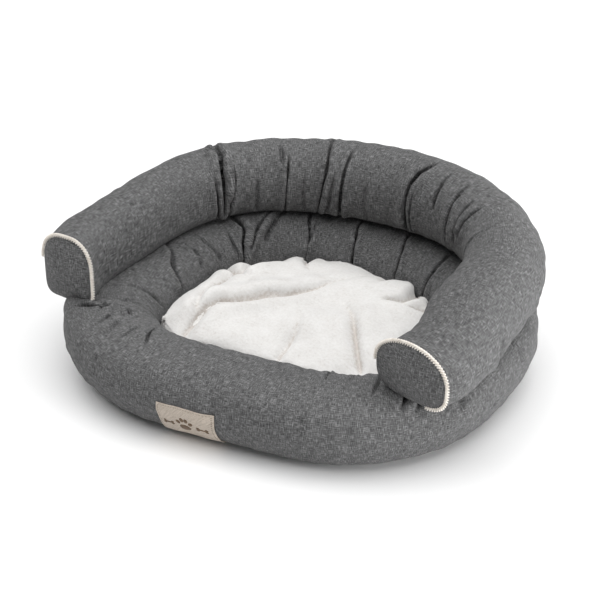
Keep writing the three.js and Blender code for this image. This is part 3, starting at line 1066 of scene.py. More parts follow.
    def rims(self, skin: Skin) -> dict[Side, Rim]:
        """The rims of a stuffed roll's two ends."""
        ends = {Side.RIGHT: (skin.grid[0], skin.grid[3]), Side.LEFT: (skin.grid[-1], skin.grid[-4])}
        return {side: Rim.between(*rows) for side, rows in ends.items()}


class Side(Enum):
    """The roll's two ends."""

    RIGHT = "right"
    LEFT = "left"


@dataclass
class Rim:
    """The edge of one of the roll's ends."""

    points: np.ndarray  # anticlockwise from the outside, seen along the roll from its right end
    middle: np.ndarray
    facing: np.ndarray
    out: np.ndarray

    @classmethod
    def between(cls, edge: np.ndarray, inner: np.ndarray) -> Rim:
        """The rim of an end, from its edge row and a row further in.

        Args:
            edge: The end row of the roll.
            inner: A row further in, which tells the two ways apart.

        Returns:
            The rim.
        """
        out = edge[0] - edge[len(edge) // 2]
        out = out / np.linalg.norm(out[:2]) * [1, 1, 0]
        facing = np.array([out[1], -out[0], 0.0])
        if np.dot(facing, edge.mean(0) - inner.mean(0)) < 0:
            facing = -facing
        return cls(edge, edge.mean(0), facing, out)


@dataclass
class EndPanel:
    """The panel that closes one of the roll's ends, with the puckers of its seam."""

    side: Side
    dome: float = 0.009
    lift: float = 0.0012
    thickness: float = 0.0012
    rings: int = 44
    # Each pucker: its place on the rim in degrees, its reach inwards as a share, its depth and half width.
    puckers: tuple[tuple[float, float, float, float], ...] = ()

    def build(self, rim: Rim) -> bpy.types.Object:
        """Makes and dresses the panel."""
        size = np.linspace(1, 0.03, self.rings)[:, None]
        turn = np.degrees(np.linspace(0, math.tau, len(rim.points), endpoint=False))[None, :]
        radius = np.linalg.norm(rim.points - rim.middle, axis=1)[None, :]
        lift = self.lift + self.dome * (1 - size**2.2)
        for start, reach, depth, width in self.puckers:
            across = np.radians((turn - start + 180) % 360 - 180) * radius * size
            taper = np.clip(1 - (1 - size) / reach, 0, 1)
            at_rim = np.clip((1 - size) / 0.03, 0, 1)
            off = np.abs(across + 0.004 * (1 - size))
            lips = 0.5 * np.exp(-(((off - 2.2 * width) / (1.4 * width)) ** 2))
            lift = lift - depth * taper * at_rim * (np.exp(-((off / width) ** 1.6)) - lips)
        x, y = size * radius * np.cos(np.radians(turn)), size * radius * np.sin(np.radians(turn))
        uneven = ripple(x, y, 0.03, 3)
        lift = lift + 0.0006 * uneven * np.clip((1 - size) / 0.15, 0, 1)
        arms = (rim.points - rim.middle)[None, :, :]
        grid = rim.middle + arms * size[..., None] + rim.facing * lift[..., None]
        flat = np.stack([np.broadcast_to(arms @ rim.out, lift.shape) * size, arms[..., 2] * size], -1)
        if self.side is Side.RIGHT:
            grid, flat = grid[:, ::-1], flat[:, ::-1]
        piece = disc_piece(f"{self.side.value}_end_cloth", grid, flat)
        thickened(piece, self.thickness)
        GREY.dress(piece)
        return worn(piece, BED, "grey_fabric", f"{self.side.value}_end_panel")


RIGHT_PUCKERS = (
    (28, 0.3, 0.002, 0.002),
    (52, 0.22, 0.0025, 0.0018),
    (8, 0.35, 0.002, 0.0022),
    (-12, 0.4, 0.002, 0.003),
)
LEFT_PUCKERS = (
    (150, 0.25, 0.0015, 0.0018),
    (168, 0.3, 0.002, 0.0018),
    (184, 0.25, 0.0015, 0.0018),
    (60, 0.2, 0.001, 0.002),
)


@dataclass
class TwistedPiping:
    """A two-strand cord sewn round one of the roll's end panels."""

    side: Side
    drop: tuple[float, float]  # how far below the roll's middle it reaches outside and inside, in degrees
    radius: float = 0.0029
    stand: float = -0.0012
    lift: float = 0.0010
    pitch: float = 0.0074
    step: float = 0.0007
    sides: int = 10

    def route(self, rim: Rim) -> np.ndarray:
        """Even points along the seam that the piping covers.

        Args:
            rim: The roll's end.

        Returns:
            The points.
        """
        count = len(rim.points)
        first, last = -self.drop[0], 180 + self.drop[1]
        turn = np.linspace(first, last, 400)
        place = turn / 360 * count
        edge = smooth_row(rim.points, place, True)
        away = edge - rim.middle
        away /= np.linalg.norm(away, axis=1, keepdims=True)
        rough = edge + away * (self.radius + self.stand) + rim.facing * self.lift
        length = np.concatenate([[0], np.cumsum(np.linalg.norm(np.diff(rough, axis=0), axis=1))])
        even = np.linspace(0, length[-1], round(length[-1] / self.step))
        return np.stack([np.interp(even, length, rough[:, k]) for k in range(3)], 1)

    def strand(self, route: np.ndarray, rim: Rim, phase: float) -> np.ndarray:
        """One strand's rings of points, wound round the route.

        Args:
            route: The points that it is wound round.
            rim: The roll's end.
            phase: Where on the route it starts, in radians.

        Returns:
            The rings of points, along the strand first.
        """
        along = np.gradient(route, axis=0)
        along /= np.linalg.norm(along, axis=1, keepdims=True)
        up = np.cross(along, rim.facing)
        wound = math.tau * np.arange(len(route)) * self.step / self.pitch + phase
        thick = self.radius * 0.5
        fade = np.clip(np.minimum(np.arange(len(route)), np.arange(len(route))[::-1]) / 4, 0.25, 1) ** 0.5
        radial = up * np.cos(wound)[:, None] + rim.facing * np.sin(wound)[:, None]
        middle = route + radial * (self.radius - thick)
        side = up * -np.sin(wound)[:, None] + rim.facing * np.cos(wound)[:, None]
        a = np.linspace(0, math.tau, self.sides, endpoint=False)[None, :, None]
        ring = radial[:, None] * np.cos(a) + side[:, None] * np.sin(a)
        return middle[:, None] + ring * (thick * fade)[:, None, None]

    def build(self, rim: Rim) -> bpy.types.Object:
        """Makes and dresses the piping."""
        route = self.route(rim)
        vertices, faces = [], []
        for phase in (0.0, math.pi):
            strand = self.strand(route, rim, phase)
            start = len(vertices)
            vertices += strand.reshape(-1, 3).tolist()
            faces += [tuple(start + v for v in face) for face in grid_faces(len(route), self.sides, False)]
            last = start + (len(route) - 1) * self.sides
            faces.append(tuple(range(start + self.sides - 1, start - 1, -1)))
            faces.append(tuple(range(last, last + self.sides)))
        mesh = bpy.data.meshes.new("piping")
        mesh.from_pydata(vertices, [], faces)
        mesh.shade_smooth()
        piece = linked(f"{self.side.value}_twisted_piping", mesh)
        turned_outwards(piece)
        YARN.dress(piece)
        return worn(piece, BED, "cream_cord", f"{self.side.value}_piping")


def disc_piece(name: str, grid: np.ndarray, flat: np.ndarray) -> bpy.types.Object:
    """A round piece of cloth from rings of points.

    Args:
        name: The piece's name.
        grid: Rings of points from the edge inwards; the last is closed over its middle.
        flat: The same points as the cloth lies flat, in metres.

    Returns:
        The piece, with its flat coordinates as its UV map.
    """
    rings, columns = grid.shape[:2]
    vertices = np.concatenate([grid.reshape(-1, 3), grid[-1].mean(0)[None]])
    places = np.concatenate([flat.reshape(-1, 2), flat[-1].mean(0)[None]])
    last = (rings - 1) * columns
    fan = [(last + k, rings * columns, last + (k + 1) % columns) for k in range(columns)]
    return cloth_piece(name, vertices, grid_faces(rings, columns, False) + fan, places)


def cloth_piece(name: str, vertices: np.ndarray, faces: list, flat: np.ndarray) -> bpy.types.Object:
    """A piece of cloth whose every vertex has one place on the flat cloth, in metres.

    Args:
        name: The piece's name.
        vertices: Its points.
        faces: Its faces, by point number.
        flat: Each point's place on the flat cloth.

    Returns:
        The piece.
    """
    mesh = bpy.data.meshes.new(name)
    mesh.from_pydata(vertices.tolist(), [], faces)
    corners = np.empty(len(mesh.loops), dtype=np.int32)
    mesh.loops.foreach_get("vertex_index", corners)
    mesh.uv_layers.new(name="cloth").data.foreach_set("uv", flat[corners].astype(np.float32).ravel())
    mesh.shade_smooth()
    return linked(name, mesh)


def alone(piece: bpy.types.Object) -> None:
    """Selects this piece alone and makes it active."""
    bpy.ops.object.select_all(action="DESELECT")
    piece.select_set(True)
    bpy.context.view_layer.objects.active = piece


def thickened(piece: bpy.types.Object, thickness: float) -> None:
    """Gives a sheet its thickness, on its inner side."""
    alone(piece)
    solid = piece.modifiers.new("Thickness", "SOLIDIFY")
    solid.thickness = thickness
    solid.offset = -1
    bpy.ops.object.modifier_apply(modifier=solid.name)


def turned_outwards(piece: bpy.types.Object) -> None:
    """Turns the faces of a closed piece outwards."""
    alone(piece)
    bpy.ops.object.mode_set(mode="EDIT")
    bpy.ops.mesh.select_all(action="SELECT")
    bpy.ops.mesh.normals_make_consistent(inside=False)
    bpy.ops.object.mode_set(mode="OBJECT")


@dataclass
class FrontPatch:
    """The small sewn patch on the wall's front, with a paw and two bones worked on it."""

    wall: StuffedWall
    skin: Skin
    angles: tuple[float, float] = (257.0, 269.5)
    bottom: float = 0.007
    top: float = 0.063
    stand: float = 0.0013
    thickness: float = 0.0009
    inset: float = 0.0030
    stitch: tuple[float, float, float] = (0.0012, 0.00034, 0.00034)
    spacing: float = 0.0036
    unit: float = 0.052
    # Each worked shape in units: its middle across and up, its half sizes and its turn.
    shapes: tuple[tuple[float, float, float, float, float], ...] = (
        (0.0, -0.10, 0.155, 0.125, 0),
        (-0.17, 0.10, 0.058, 0.082, 25),
        (-0.06, 0.20, 0.058, 0.088, 8),
        (0.06, 0.20, 0.058, 0.088, -8),
        (0.17, 0.10, 0.058, 0.082, -25),
    )
    bone: tuple[tuple[float, float, float, float, float], ...] = (
        (0.0, 0.0, 0.12, 0.032, 0),
        (-0.11, 0.040, 0.046, 0.045, 0),
        (-0.11, -0.040, 0.046, 0.045, 0),
        (0.11, 0.040, 0.046, 0.045, 0),
        (0.11, -0.040, 0.046, 0.045, 0),
    )

    def __post_init__(self) -> None:
        """Lays the patch's own grid over the wall."""
        self.grid = self.over(np.linspace(0, 1, 120), np.linspace(0, 1, 70))
        self.width = ring_length(self.grid[:, 35])
        self.height = ring_length(self.grid[60])
        along, up = np.gradient(self.grid, axis=0), np.gradient(self.grid, axis=1)
        self.out = np.cross(along, up)
        self.out /= np.linalg.norm(self.out, axis=-1, keepdims=True)

    def over(self, along: np.ndarray, up: np.ndarray) -> np.ndarray:
        """Points on the stuffed wall.

        Args:
            along: Shares of the way along the patch.
            up: Shares of the way up it.

        Returns:
            A grid of points.
        """
        angle = self.angles[0] + (self.angles[1] - self.angles[0]) * along
        rows = np.array([self.wall.share(a) for a in angle]) * len(self.skin.grid)
        lines = smooth_row(self.skin.grid, rows, True)
        heights = self.bottom + (self.top - self.bottom) * up
        reach = lines.shape[1] // 3
        grid = np.empty((len(along), len(up), 3))
        for line, row in zip(lines, grid):
            place = np.interp(heights, line[:reach, 2], np.arange(reach))
            row[:] = smooth_row(line, place, True)
        soft = grid.copy()
        for _ in range(30):
            soft[1:-1] = (soft[:-2] + soft[2:] + 2 * soft[1:-1]) / 4
        return soft

    def at(self, across: np.ndarray, up: np.ndarray) -> tuple[np.ndarray, np.ndarray]:
        """Points and normals of the patch's face at distances from its lower left corner, in metres.

        Args:
            across: Distances to the right.
            up: Distances up.

        Returns:
            The points and the normals.
        """
        i = np.clip(across / self.width, 0, 1) * (self.grid.shape[0] - 1)
        k = np.clip(up / self.height, 0, 1) * (self.grid.shape[1] - 1)
        i0 = np.minimum(i.astype(int), self.grid.shape[0] - 2)
        k0 = np.minimum(k.astype(int), self.grid.shape[1] - 2)
        s, t = (i - i0)[..., None], (k - k0)[..., None]

        def read(values: np.ndarray) -> np.ndarray:
            """The values there, between the grid's own points."""
            low = values[i0, k0] * (1 - s) + values[i0 + 1, k0] * s
            high = values[i0, k0 + 1] * (1 - s) + values[i0 + 1, k0 + 1] * s
            return low * (1 - t) + high * t

        return read(self.grid) + read(self.out) * self.stand, read(self.out)

    def build(self) -> list[bpy.types.Object]:
        """Makes and dresses the patch, its stitches and its worked shapes."""
        cloth = self.cloth()
        return [cloth, self.stitches(), self.worked()]

    def cloth(self) -> bpy.types.Object:
        """The patch itself, with its folded edge a little thicker than its middle."""
        rows, columns = 90, 54
        across = np.linspace(0, self.width, rows)[:, None] + np.zeros((1, columns))
        up = np.linspace(0, self.height, columns)[None, :] + np.zeros((rows, 1))
        points, out = self.at(across, up)
        edge = np.minimum(np.minimum(across, self.width - across), np.minimum(up, self.height - up))
        seam = np.exp(-(((edge - self.inset) / 0.0009) ** 2))
        fold = 0.0005 / (1 + np.exp((edge - 0.0062) / 0.0006)) - 0.0005 * seam
        points = points + out * (fold - 0.0006 * np.clip(1 - edge / 0.0008, 0, 1))[..., None]
        number = np.arange(rows * columns).reshape(rows, columns)
        quads = np.stack([number[:-1, :-1], number[1:, :-1], number[1:, 1:], number[:-1, 1:]], -1)
        flat = np.stack([across, up], -1).reshape(-1, 2)
        piece = cloth_piece("patch_cloth", points.reshape(-1, 3), quads.reshape(-1, 4).tolist(), flat)
        thickened(piece, self.thickness)
        TWILL.dress(piece)
        return worn(piece, BED, "patch_fabric", "front_patch")

    def bead(self, segments: int, rings: int) -> tuple[np.ndarray, list[tuple[int, ...]]]:
        """The points and faces of a round bead of radius 1, to be worked into a stitch or a raised shape.

        Args:
            segments: Its faces round its middle.
            rings: Its rings of faces.

        Returns:
            The points and the faces.
        """
        bpy.ops.object.select_all(action="DESELECT")
        bpy.ops.mesh.primitive_uv_sphere_add(segments=segments, ring_count=rings, radius=1)
        bead = bpy.context.active_object
        points = np.array([v.co[:] for v in bead.data.vertices])
        faces = [tuple(face.vertices) for face in bead.data.polygons]
        bpy.data.objects.remove(bead)
        return points, faces

    def stitches(self) -> bpy.types.Object:
        """The row of stitches inside the edge."""
        bead, bead_faces = self.bead(8, 6)
        wide, tall = self.width - 2 * self.inset, self.height - 2 * self.inset
        sides = ((0, 0, 1, 0, wide), (wide, 0, 0, 1, tall), (wide, tall, -1, 0, wide), (0, tall, 0, -1, tall))
        vertices, faces = [], []
        for x, y, dx, dy, length in sides:
            count = round(length / self.spacing)
            for k in range(count):
                way = (k + 0.5) * length / count
                at = bead * self.stitch
                across = self.inset + x + dx * (way + at[:, 0]) - dy * at[:, 1]
                up = self.inset + y + dy * (way + at[:, 0]) + dx * at[:, 1]
                points, out = self.at(across, up)
                faces += [tuple(len(vertices) + v for v in face) for face in bead_faces]
                vertices += (points + out * at[:, 2:]).tolist()
        return self.thread_piece("patch_stitches", vertices, faces)

    def worked(self) -> bpy.types.Object:
        """The raised paw and bones."""
        bead, bead_faces = self.bead(28, 10)
        groups = [(self.shapes, 0.0, 0.0), (self.bone, -0.46, -0.02), (self.bone, 0.46, -0.02)]
        vertices, faces = [], []
        for shapes, right, above in groups:
            for x, y, wide, tall, turn in shapes:
                c, s = math.cos(math.radians(turn)), math.sin(math.radians(turn))
                a, b = bead[:, 0] * wide, bead[:, 1] * tall
                across = self.width / 2 + self.unit * (right + x + c * a - s * b)
                up = self.height / 2 + self.unit * (above + y + s * a + c * b)
                points, out = self.at(across, up)
                faces += [tuple(len(vertices) + v for v in face) for face in bead_faces]
                vertices += (points + out * bead[:, 2:] * 0.0006).tolist()
        return self.thread_piece("patch_embroidery", vertices, faces)

    def thread_piece(self, name: str, vertices: list, faces: list) -> bpy.types.Object:
        """A piece of brown thread on the patch.

        Args:
            name: The piece's name.
            vertices: Its points.
            faces: Its faces.

        Returns:
            The piece.
        """
        mesh = bpy.data.meshes.new(name)
        mesh.from_pydata(vertices, [], faces)
        mesh.shade_smooth()
        piece = linked(name, mesh)
        turned_outwards(piece)
        THREAD.dress(piece)
        return worn(piece, BED, "patch_fabric")


class Obstacle:
    """A closed piece that others must stay outside of."""

    reach = 0.05

    def __init__(self, piece: bpy.types.Object) -> None:
        """Takes a finished piece, its faces pointing outwards."""
        vertices = [vertex.co for vertex in piece.data.vertices]
        self.tree = BVHTree.FromPolygons(vertices, [tuple(face.vertices) for face in piece.data.polygons])

    def cleared(self, points: np.ndarray, gap: np.ndarray) -> np.ndarray:
        """Moves points out of the piece, the shortest way.

        Args:
            points: The points, in a grid.
            gap: How far outside the piece each one must be.

        Returns:
            The points, moved where they had to be.
        """
        moved = points.reshape(-1, 3).copy()
        for index, (point, least) in enumerate(zip(points.reshape(-1, 3), gap.ravel())):
            place, normal, _, _ = self.tree.find_nearest(Vector(point), self.reach)
            if place is not None and (Vector(point) - place).dot(normal) < least:
                moved[index] = place + normal * least
        return moved.reshape(points.shape)

    def keep_off(self, other: bpy.types.Object, gap: float) -> None:
        """Moves a finished piece's stray points out, to a gap outside this one."""
        points = np.empty(len(other.data.vertices) * 3)
        other.data.vertices.foreach_get("co", points)
        moved = self.cleared(points.reshape(-1, 3), np.full(len(points) // 3, gap))
        other.data.vertices.foreach_set("co", moved.ravel())


@dataclass
class PlushCushion:
    """The loose cushion in the well."""

    plan: Plan
    wall: StuffedWall
    clearance: float = 0.0015
    foot: float = 0.0138
    top: float = 0.086
    seam_share: float = 0.42
    fullness: float = 3.4
    overhang: float = 0.015
    stand_off: float = 0.0025
    lip: float = 0.006
    thickness: float = 0.0012
    count: int = 100
    stuffing: Stuffing = field(
        default_factory=lambda: Stuffing(pressure=1.6, cap=0.008, tension=8.0, bending=1.5, frames=20)
    )
    creases: tuple[Fold, ...] = (
        Fold(((0.034, 0.096), (0.009, 0.053), (-0.010, 0.020), (-0.027, -0.004), (-0.060, -0.027),
              (-0.092, -0.050), (-0.106, -0.077), (-0.112, -0.135)), 0.015, 0.0080, -0.35),
        Fold(((-0.082, 0.092), (-0.104, 0.054), (-0.116, 0.020), (-0.128, -0.013), (-0.126, -0.048),
              (-0.113, -0.089)), 0.012, 0.0070, 0.3),
        Fold(((-0.085, 0.018), (-0.109, 0.021), (-0.130, 0.030), (-0.160, 0.038)), 0.010, 0.0055, 0.3),
        Fold(((-0.109, 0.016), (-0.106, 0.047), (-0.102, 0.090)), 0.010, 0.0055, -0.3),
        Fold(((0.045, 0.018), (0.069, -0.002), (0.098, -0.047), (0.134, -0.104)), 0.010, 0.0070, 0.3),
        Fold(((0.085, 0.040), (0.112, 0.062), (0.116, 0.090), (0.110, 0.130)), 0.014, 0.0055, 0.3),
        Fold(((0.090, 0.046), (0.118, 0.052), (0.150, 0.062)), 0.010, 0.0055, -0.2),
        Fold(((0.004, -0.020), (0.024, -0.070), (0.030, -0.135)), 0.007, 0.0045, 0.1),
        Fold(((-0.030, 0.070), (-0.052, 0.100), (-0.060, 0.135)), 0.009, 0.0060, 0.2),
        Fold(((0.060, 0.070), (0.066, 0.100), (0.070, 0.140)), 0.007, 0.0060, -0.2),
    )  # fmt: skip

    def edge(self, angle: np.ndarray, further: float = 0.0) -> np.ndarray:
        """The cushion's outline at plan angles."""
        spine = Spine.along_plan(self.plan, angle)
        return spine.point - spine.out * (self.wall.thickness + self.clearance - further)

    def face(self, count: int, is_top: bool) -> tuple[np.ndarray, np.ndarray]:
        """One face of the cushion as a square grid drawn round.

        Args:
            count: Points along each side of the grid.
            is_top: Whether it is the top face.

        Returns:
            The points and each one's share of the way from the seam to the middle.
        """
        x, y = np.meshgrid(np.linspace(-1, 1, count), np.linspace(-1, 1, count), indexing="ij")
        u, v = x * np.sqrt(1 - y**2 / 2), y * np.sqrt(1 - x**2 / 2)
        r, angle = np.minimum(np.hypot(u, v), 1), np.arctan2(v, u)
        seam = self.foot + self.seam_share * (self.top - self.foot)
        rise = self.top - seam if is_top else self.foot - seam
        phi = np.radians(np.linspace(0, 90, 400))
        wide, tall = np.sin(phi) ** (2 / self.fullness), np.cos(phi) ** (2 / self.fullness)
        length = np.concatenate([[0], np.cumsum(np.hypot(np.diff(wide) * 0.15, np.diff(tall) * abs(rise)))])
        phi_at = np.interp(r * length[-1], length, phi)
        size, lift = np.sin(phi_at) ** (2 / self.fullness), np.cos(phi_at) ** (2 / self.fullness)
        outline = self.edge(angle.ravel()).reshape(angle.shape + (2,))
        middle = self.edge(np.linspace(0, math.tau, 360, endpoint=False)).mean(0)
        arm = (outline - middle) * size[..., None]
        if is_top:
            bulge = self.overhang * self.loose(angle) * np.clip(lift / 0.7, 0, 1) ** 1.5
            away = (outline - middle) / np.linalg.norm(outline - middle, axis=-1, keepdims=True)
            arm = arm + away * (bulge * size**4)[..., None]
            rise = rise + self.puffed(angle) * size**2
        points = np.concatenate([middle + arm, (seam + rise * lift)[..., None]], -1)
        return points, 1 - r

    @staticmethod
    def near(angle: np.ndarray, degrees: float, width: float) -> np.ndarray:
        """1 at a plan angle in degrees, fading over a width round it."""
        return np.exp(-((((np.degrees(angle) - degrees + 180) % 360 - 180) / width) ** 2))

    def puffed(self, angle: np.ndarray) -> np.ndarray:
        """How much higher the cushion's edge stands at plan angles."""
        more = 0.010 * self.near(angle, 208, 34) + 0.010 * self.near(angle, 95, 44)
        return more - 0.004 * self.near(angle, 140, 12)

    def loose(self, angle: np.ndarray) -> np.ndarray:
        """How far the cushion reaches over the wall's waist at plan angles: least at the back left corner."""
        much = 1.2 * self.near(angle, 210, 20) + 0.25 * self.near(angle, 105, 14)
        much = much + 0.2 * self.near(angle, 60, 14)
        little = 1.4 * self.near(angle, 140, 13) + 0.5 * self.near(angle, 78, 8)
        little = little + 0.4 * self.near(angle, 40, 8)
        return 1.0 + much - little

    def gap(self, inwards: np.ndarray) -> np.ndarray:
        """How far the plush stays off the wall: a little at its flank, more at its top edge."""
        return self.stand_off + self.lip * np.clip((inwards - 0.10) / 0.12, 0, 1)

    def build(self, wall_cloth: bpy.types.Object) -> list[bpy.types.Object]:
        """Makes and dresses the cushion's two faces and its filling.

        Args:
            wall_cloth: The wall's finished cloth, which the cushion lies against.

        Returns:
            The plush, the underside and the filling.
        """
        beside = Obstacle(wall_cloth)
        points, inwards = self.face(self.count, True)
        pulled = sum(crease.valley(points[..., 0], points[..., 1]) for crease in self.creases)
        free = np.clip(inwards / 0.06, 0, 1)
        high = np.clip((points[..., 2] - 0.055) / 0.02, 0, 1)
        mounds = 0.0045 * ripple(points[..., 0], points[..., 1], 0.12, 12)
        points[..., 2] += (mounds - 0.6 * pulled) * free * high
        cut = points.copy()
        cut[..., :2] *= 1.045
        sewn = (1 - free).ravel()
        faces = square_faces(self.count)
        move = inflated(points.reshape(-1, 3), faces, cut.reshape(-1, 3), sewn, self.stuffing)
        points = points + move.reshape(points.shape)
        points = beside.cleared(points, self.gap(inwards))
        filling = points.copy()
        filling[..., 2] -= 0.006
        inwards = square_doubled(inwards[..., None])[..., 0]
        points = square_doubled(points)
        free, high = square_doubled(free[..., None])[..., 0], square_doubled(high[..., None])[..., 0]
        pulled = sum(crease.valley(points[..., 0], points[..., 1]) for crease in self.creases)
        fine = 0.0003 * ripple(points[..., 0], points[..., 1], 0.03, 14, 12)
        points[..., 2] += (fine - 0.4 * pulled) * np.clip(free, 0, 1) * high
        points = beside.cleared(points, self.gap(inwards))
        top = square_piece("cushion_plush", points, True)
        # Each point's crease depth, which the plush darkens by as painted shade in the creases.
        crease = top.data.attributes.new("crease", "FLOAT", "POINT")
        crease.data.foreach_set("value", (np.clip(pulled / 0.006, 0, 1) ** 1.5).astype(np.float32).ravel())
        thickened(top, self.thickness)
        beside.keep_off(top, self.clearance)
        PLUSH.dress(top)
        under, inwards = self.face(2 * self.count - 1, False)
        puff = 0.0012 * ripple(under[..., 0], under[..., 1], 0.05, 15) * np.clip(inwards / 0.1, 0, 1)
        under[..., 2] += np.abs(puff)
        under = beside.cleared(under, np.full(inwards.shape, self.stand_off))
        bottom = square_piece("cushion_underside", under, False)
        thickened(bottom, self.thickness)
        LINING.dress(bottom)
        return [
            worn(top, CUSHION, "plush", "cushion_top"),
            worn(bottom, CUSHION, "lining_fabric", "cushion_bottom"),
            self.stuff(filling, beside),
        ]

    def stuff(self, upper: np.ndarray, beside: Obstacle) -> bpy.types.Object:
        """The filling between the two faces, a little inside them and clear of what is beside the cushion.

        Args:
            upper: The filling's upper face, as a square grid.
            beside: What is beside the cushion.

        Returns:
            The filling.
        """
        lower, _ = self.face(self.count, False)
        lower[..., 2] += 0.004
        middle = lower.reshape(-1, 3).mean(0)
        for face in (upper, lower):
            face[..., :2] = middle[:2] + (face[..., :2] - middle[:2]) * 0.972
        apart = np.full(upper.shape[:2], self.stand_off + 0.0015)
        upper, lower = beside.cleared(upper, apart), beside.cleared(lower, apart)
        edge = square_edge(self.count)
        upper.reshape(-1, 3)[edge] = lower.reshape(-1, 3)[edge] + [0, 0, 0.001]
        piece = joined_faces("cushion_fibre", upper, lower)
        FIBRE.dress(piece)
        return worn(piece, CUSHION, "fibre_filling", "cushion_filling")


def square_faces(count: int) -> list[list[int]]:
    """The quads of a square grid."""
    number = np.arange(count * count).reshape(count, count)
    quads = np.stack([number[:-1, :-1], number[1:, :-1], number[1:, 1:], number[:-1, 1:]], -1)
    return quads.reshape(-1, 4).tolist()


def square_doubled(grid: np.ndarray) -> np.ndarray:
    """A square grid with one more point between each two."""
    return np.swapaxes(doubled(np.swapaxes(doubled(grid, False), 0, 1), False), 0, 1)


def square_edge(count: int) -> np.ndarray:
    """The numbers of a square grid's edge points, in order round it."""
    number = np.arange(count * count).reshape(count, count)
    return np.concatenate([number[:-1, 0], number[-1, :-1], number[:0:-1, -1], number[0, :0:-1]])


def square_piece(name: str, points: np.ndarray, is_top: bool) -> bpy.types.Object:
    """A face of the cushion from a square grid of points."""
    faces = square_faces(len(points))
    if not is_top:
        faces = [face[::-1] for face in faces]
    return cloth_piece(name, points.reshape(-1, 3), faces, points[..., :2].reshape(-1, 2))


def joined_faces(name: str, upper: np.ndarray, lower: np.ndarray) -> bpy.types.Object:
    """A closed piece from an upper and a lower square grid of points, joined round their edges.

    Args:
        name: The piece's name.
        upper: The upper grid.
        lower: The lower grid.

    Returns:
        The piece.
    """
    count = len(upper)
    faces = square_faces(count)
    start = count * count
    faces += [[start + v for v in face[::-1]] for face in square_faces(count)]
    edge = square_edge(count).tolist()
    for a, b in zip(edge, edge[1:] + edge[:1]):
        faces.append([a, start + a, start + b, b])
    vertices = np.concatenate([upper.reshape(-1, 3), lower.reshape(-1, 3)])
    mesh = bpy.data.meshes.new(name)
    mesh.from_pydata(vertices.tolist(), [], faces)
    mesh.shade_smooth()
    piece = linked(name, mesh)
    turned_outwards(piece)
    return piece


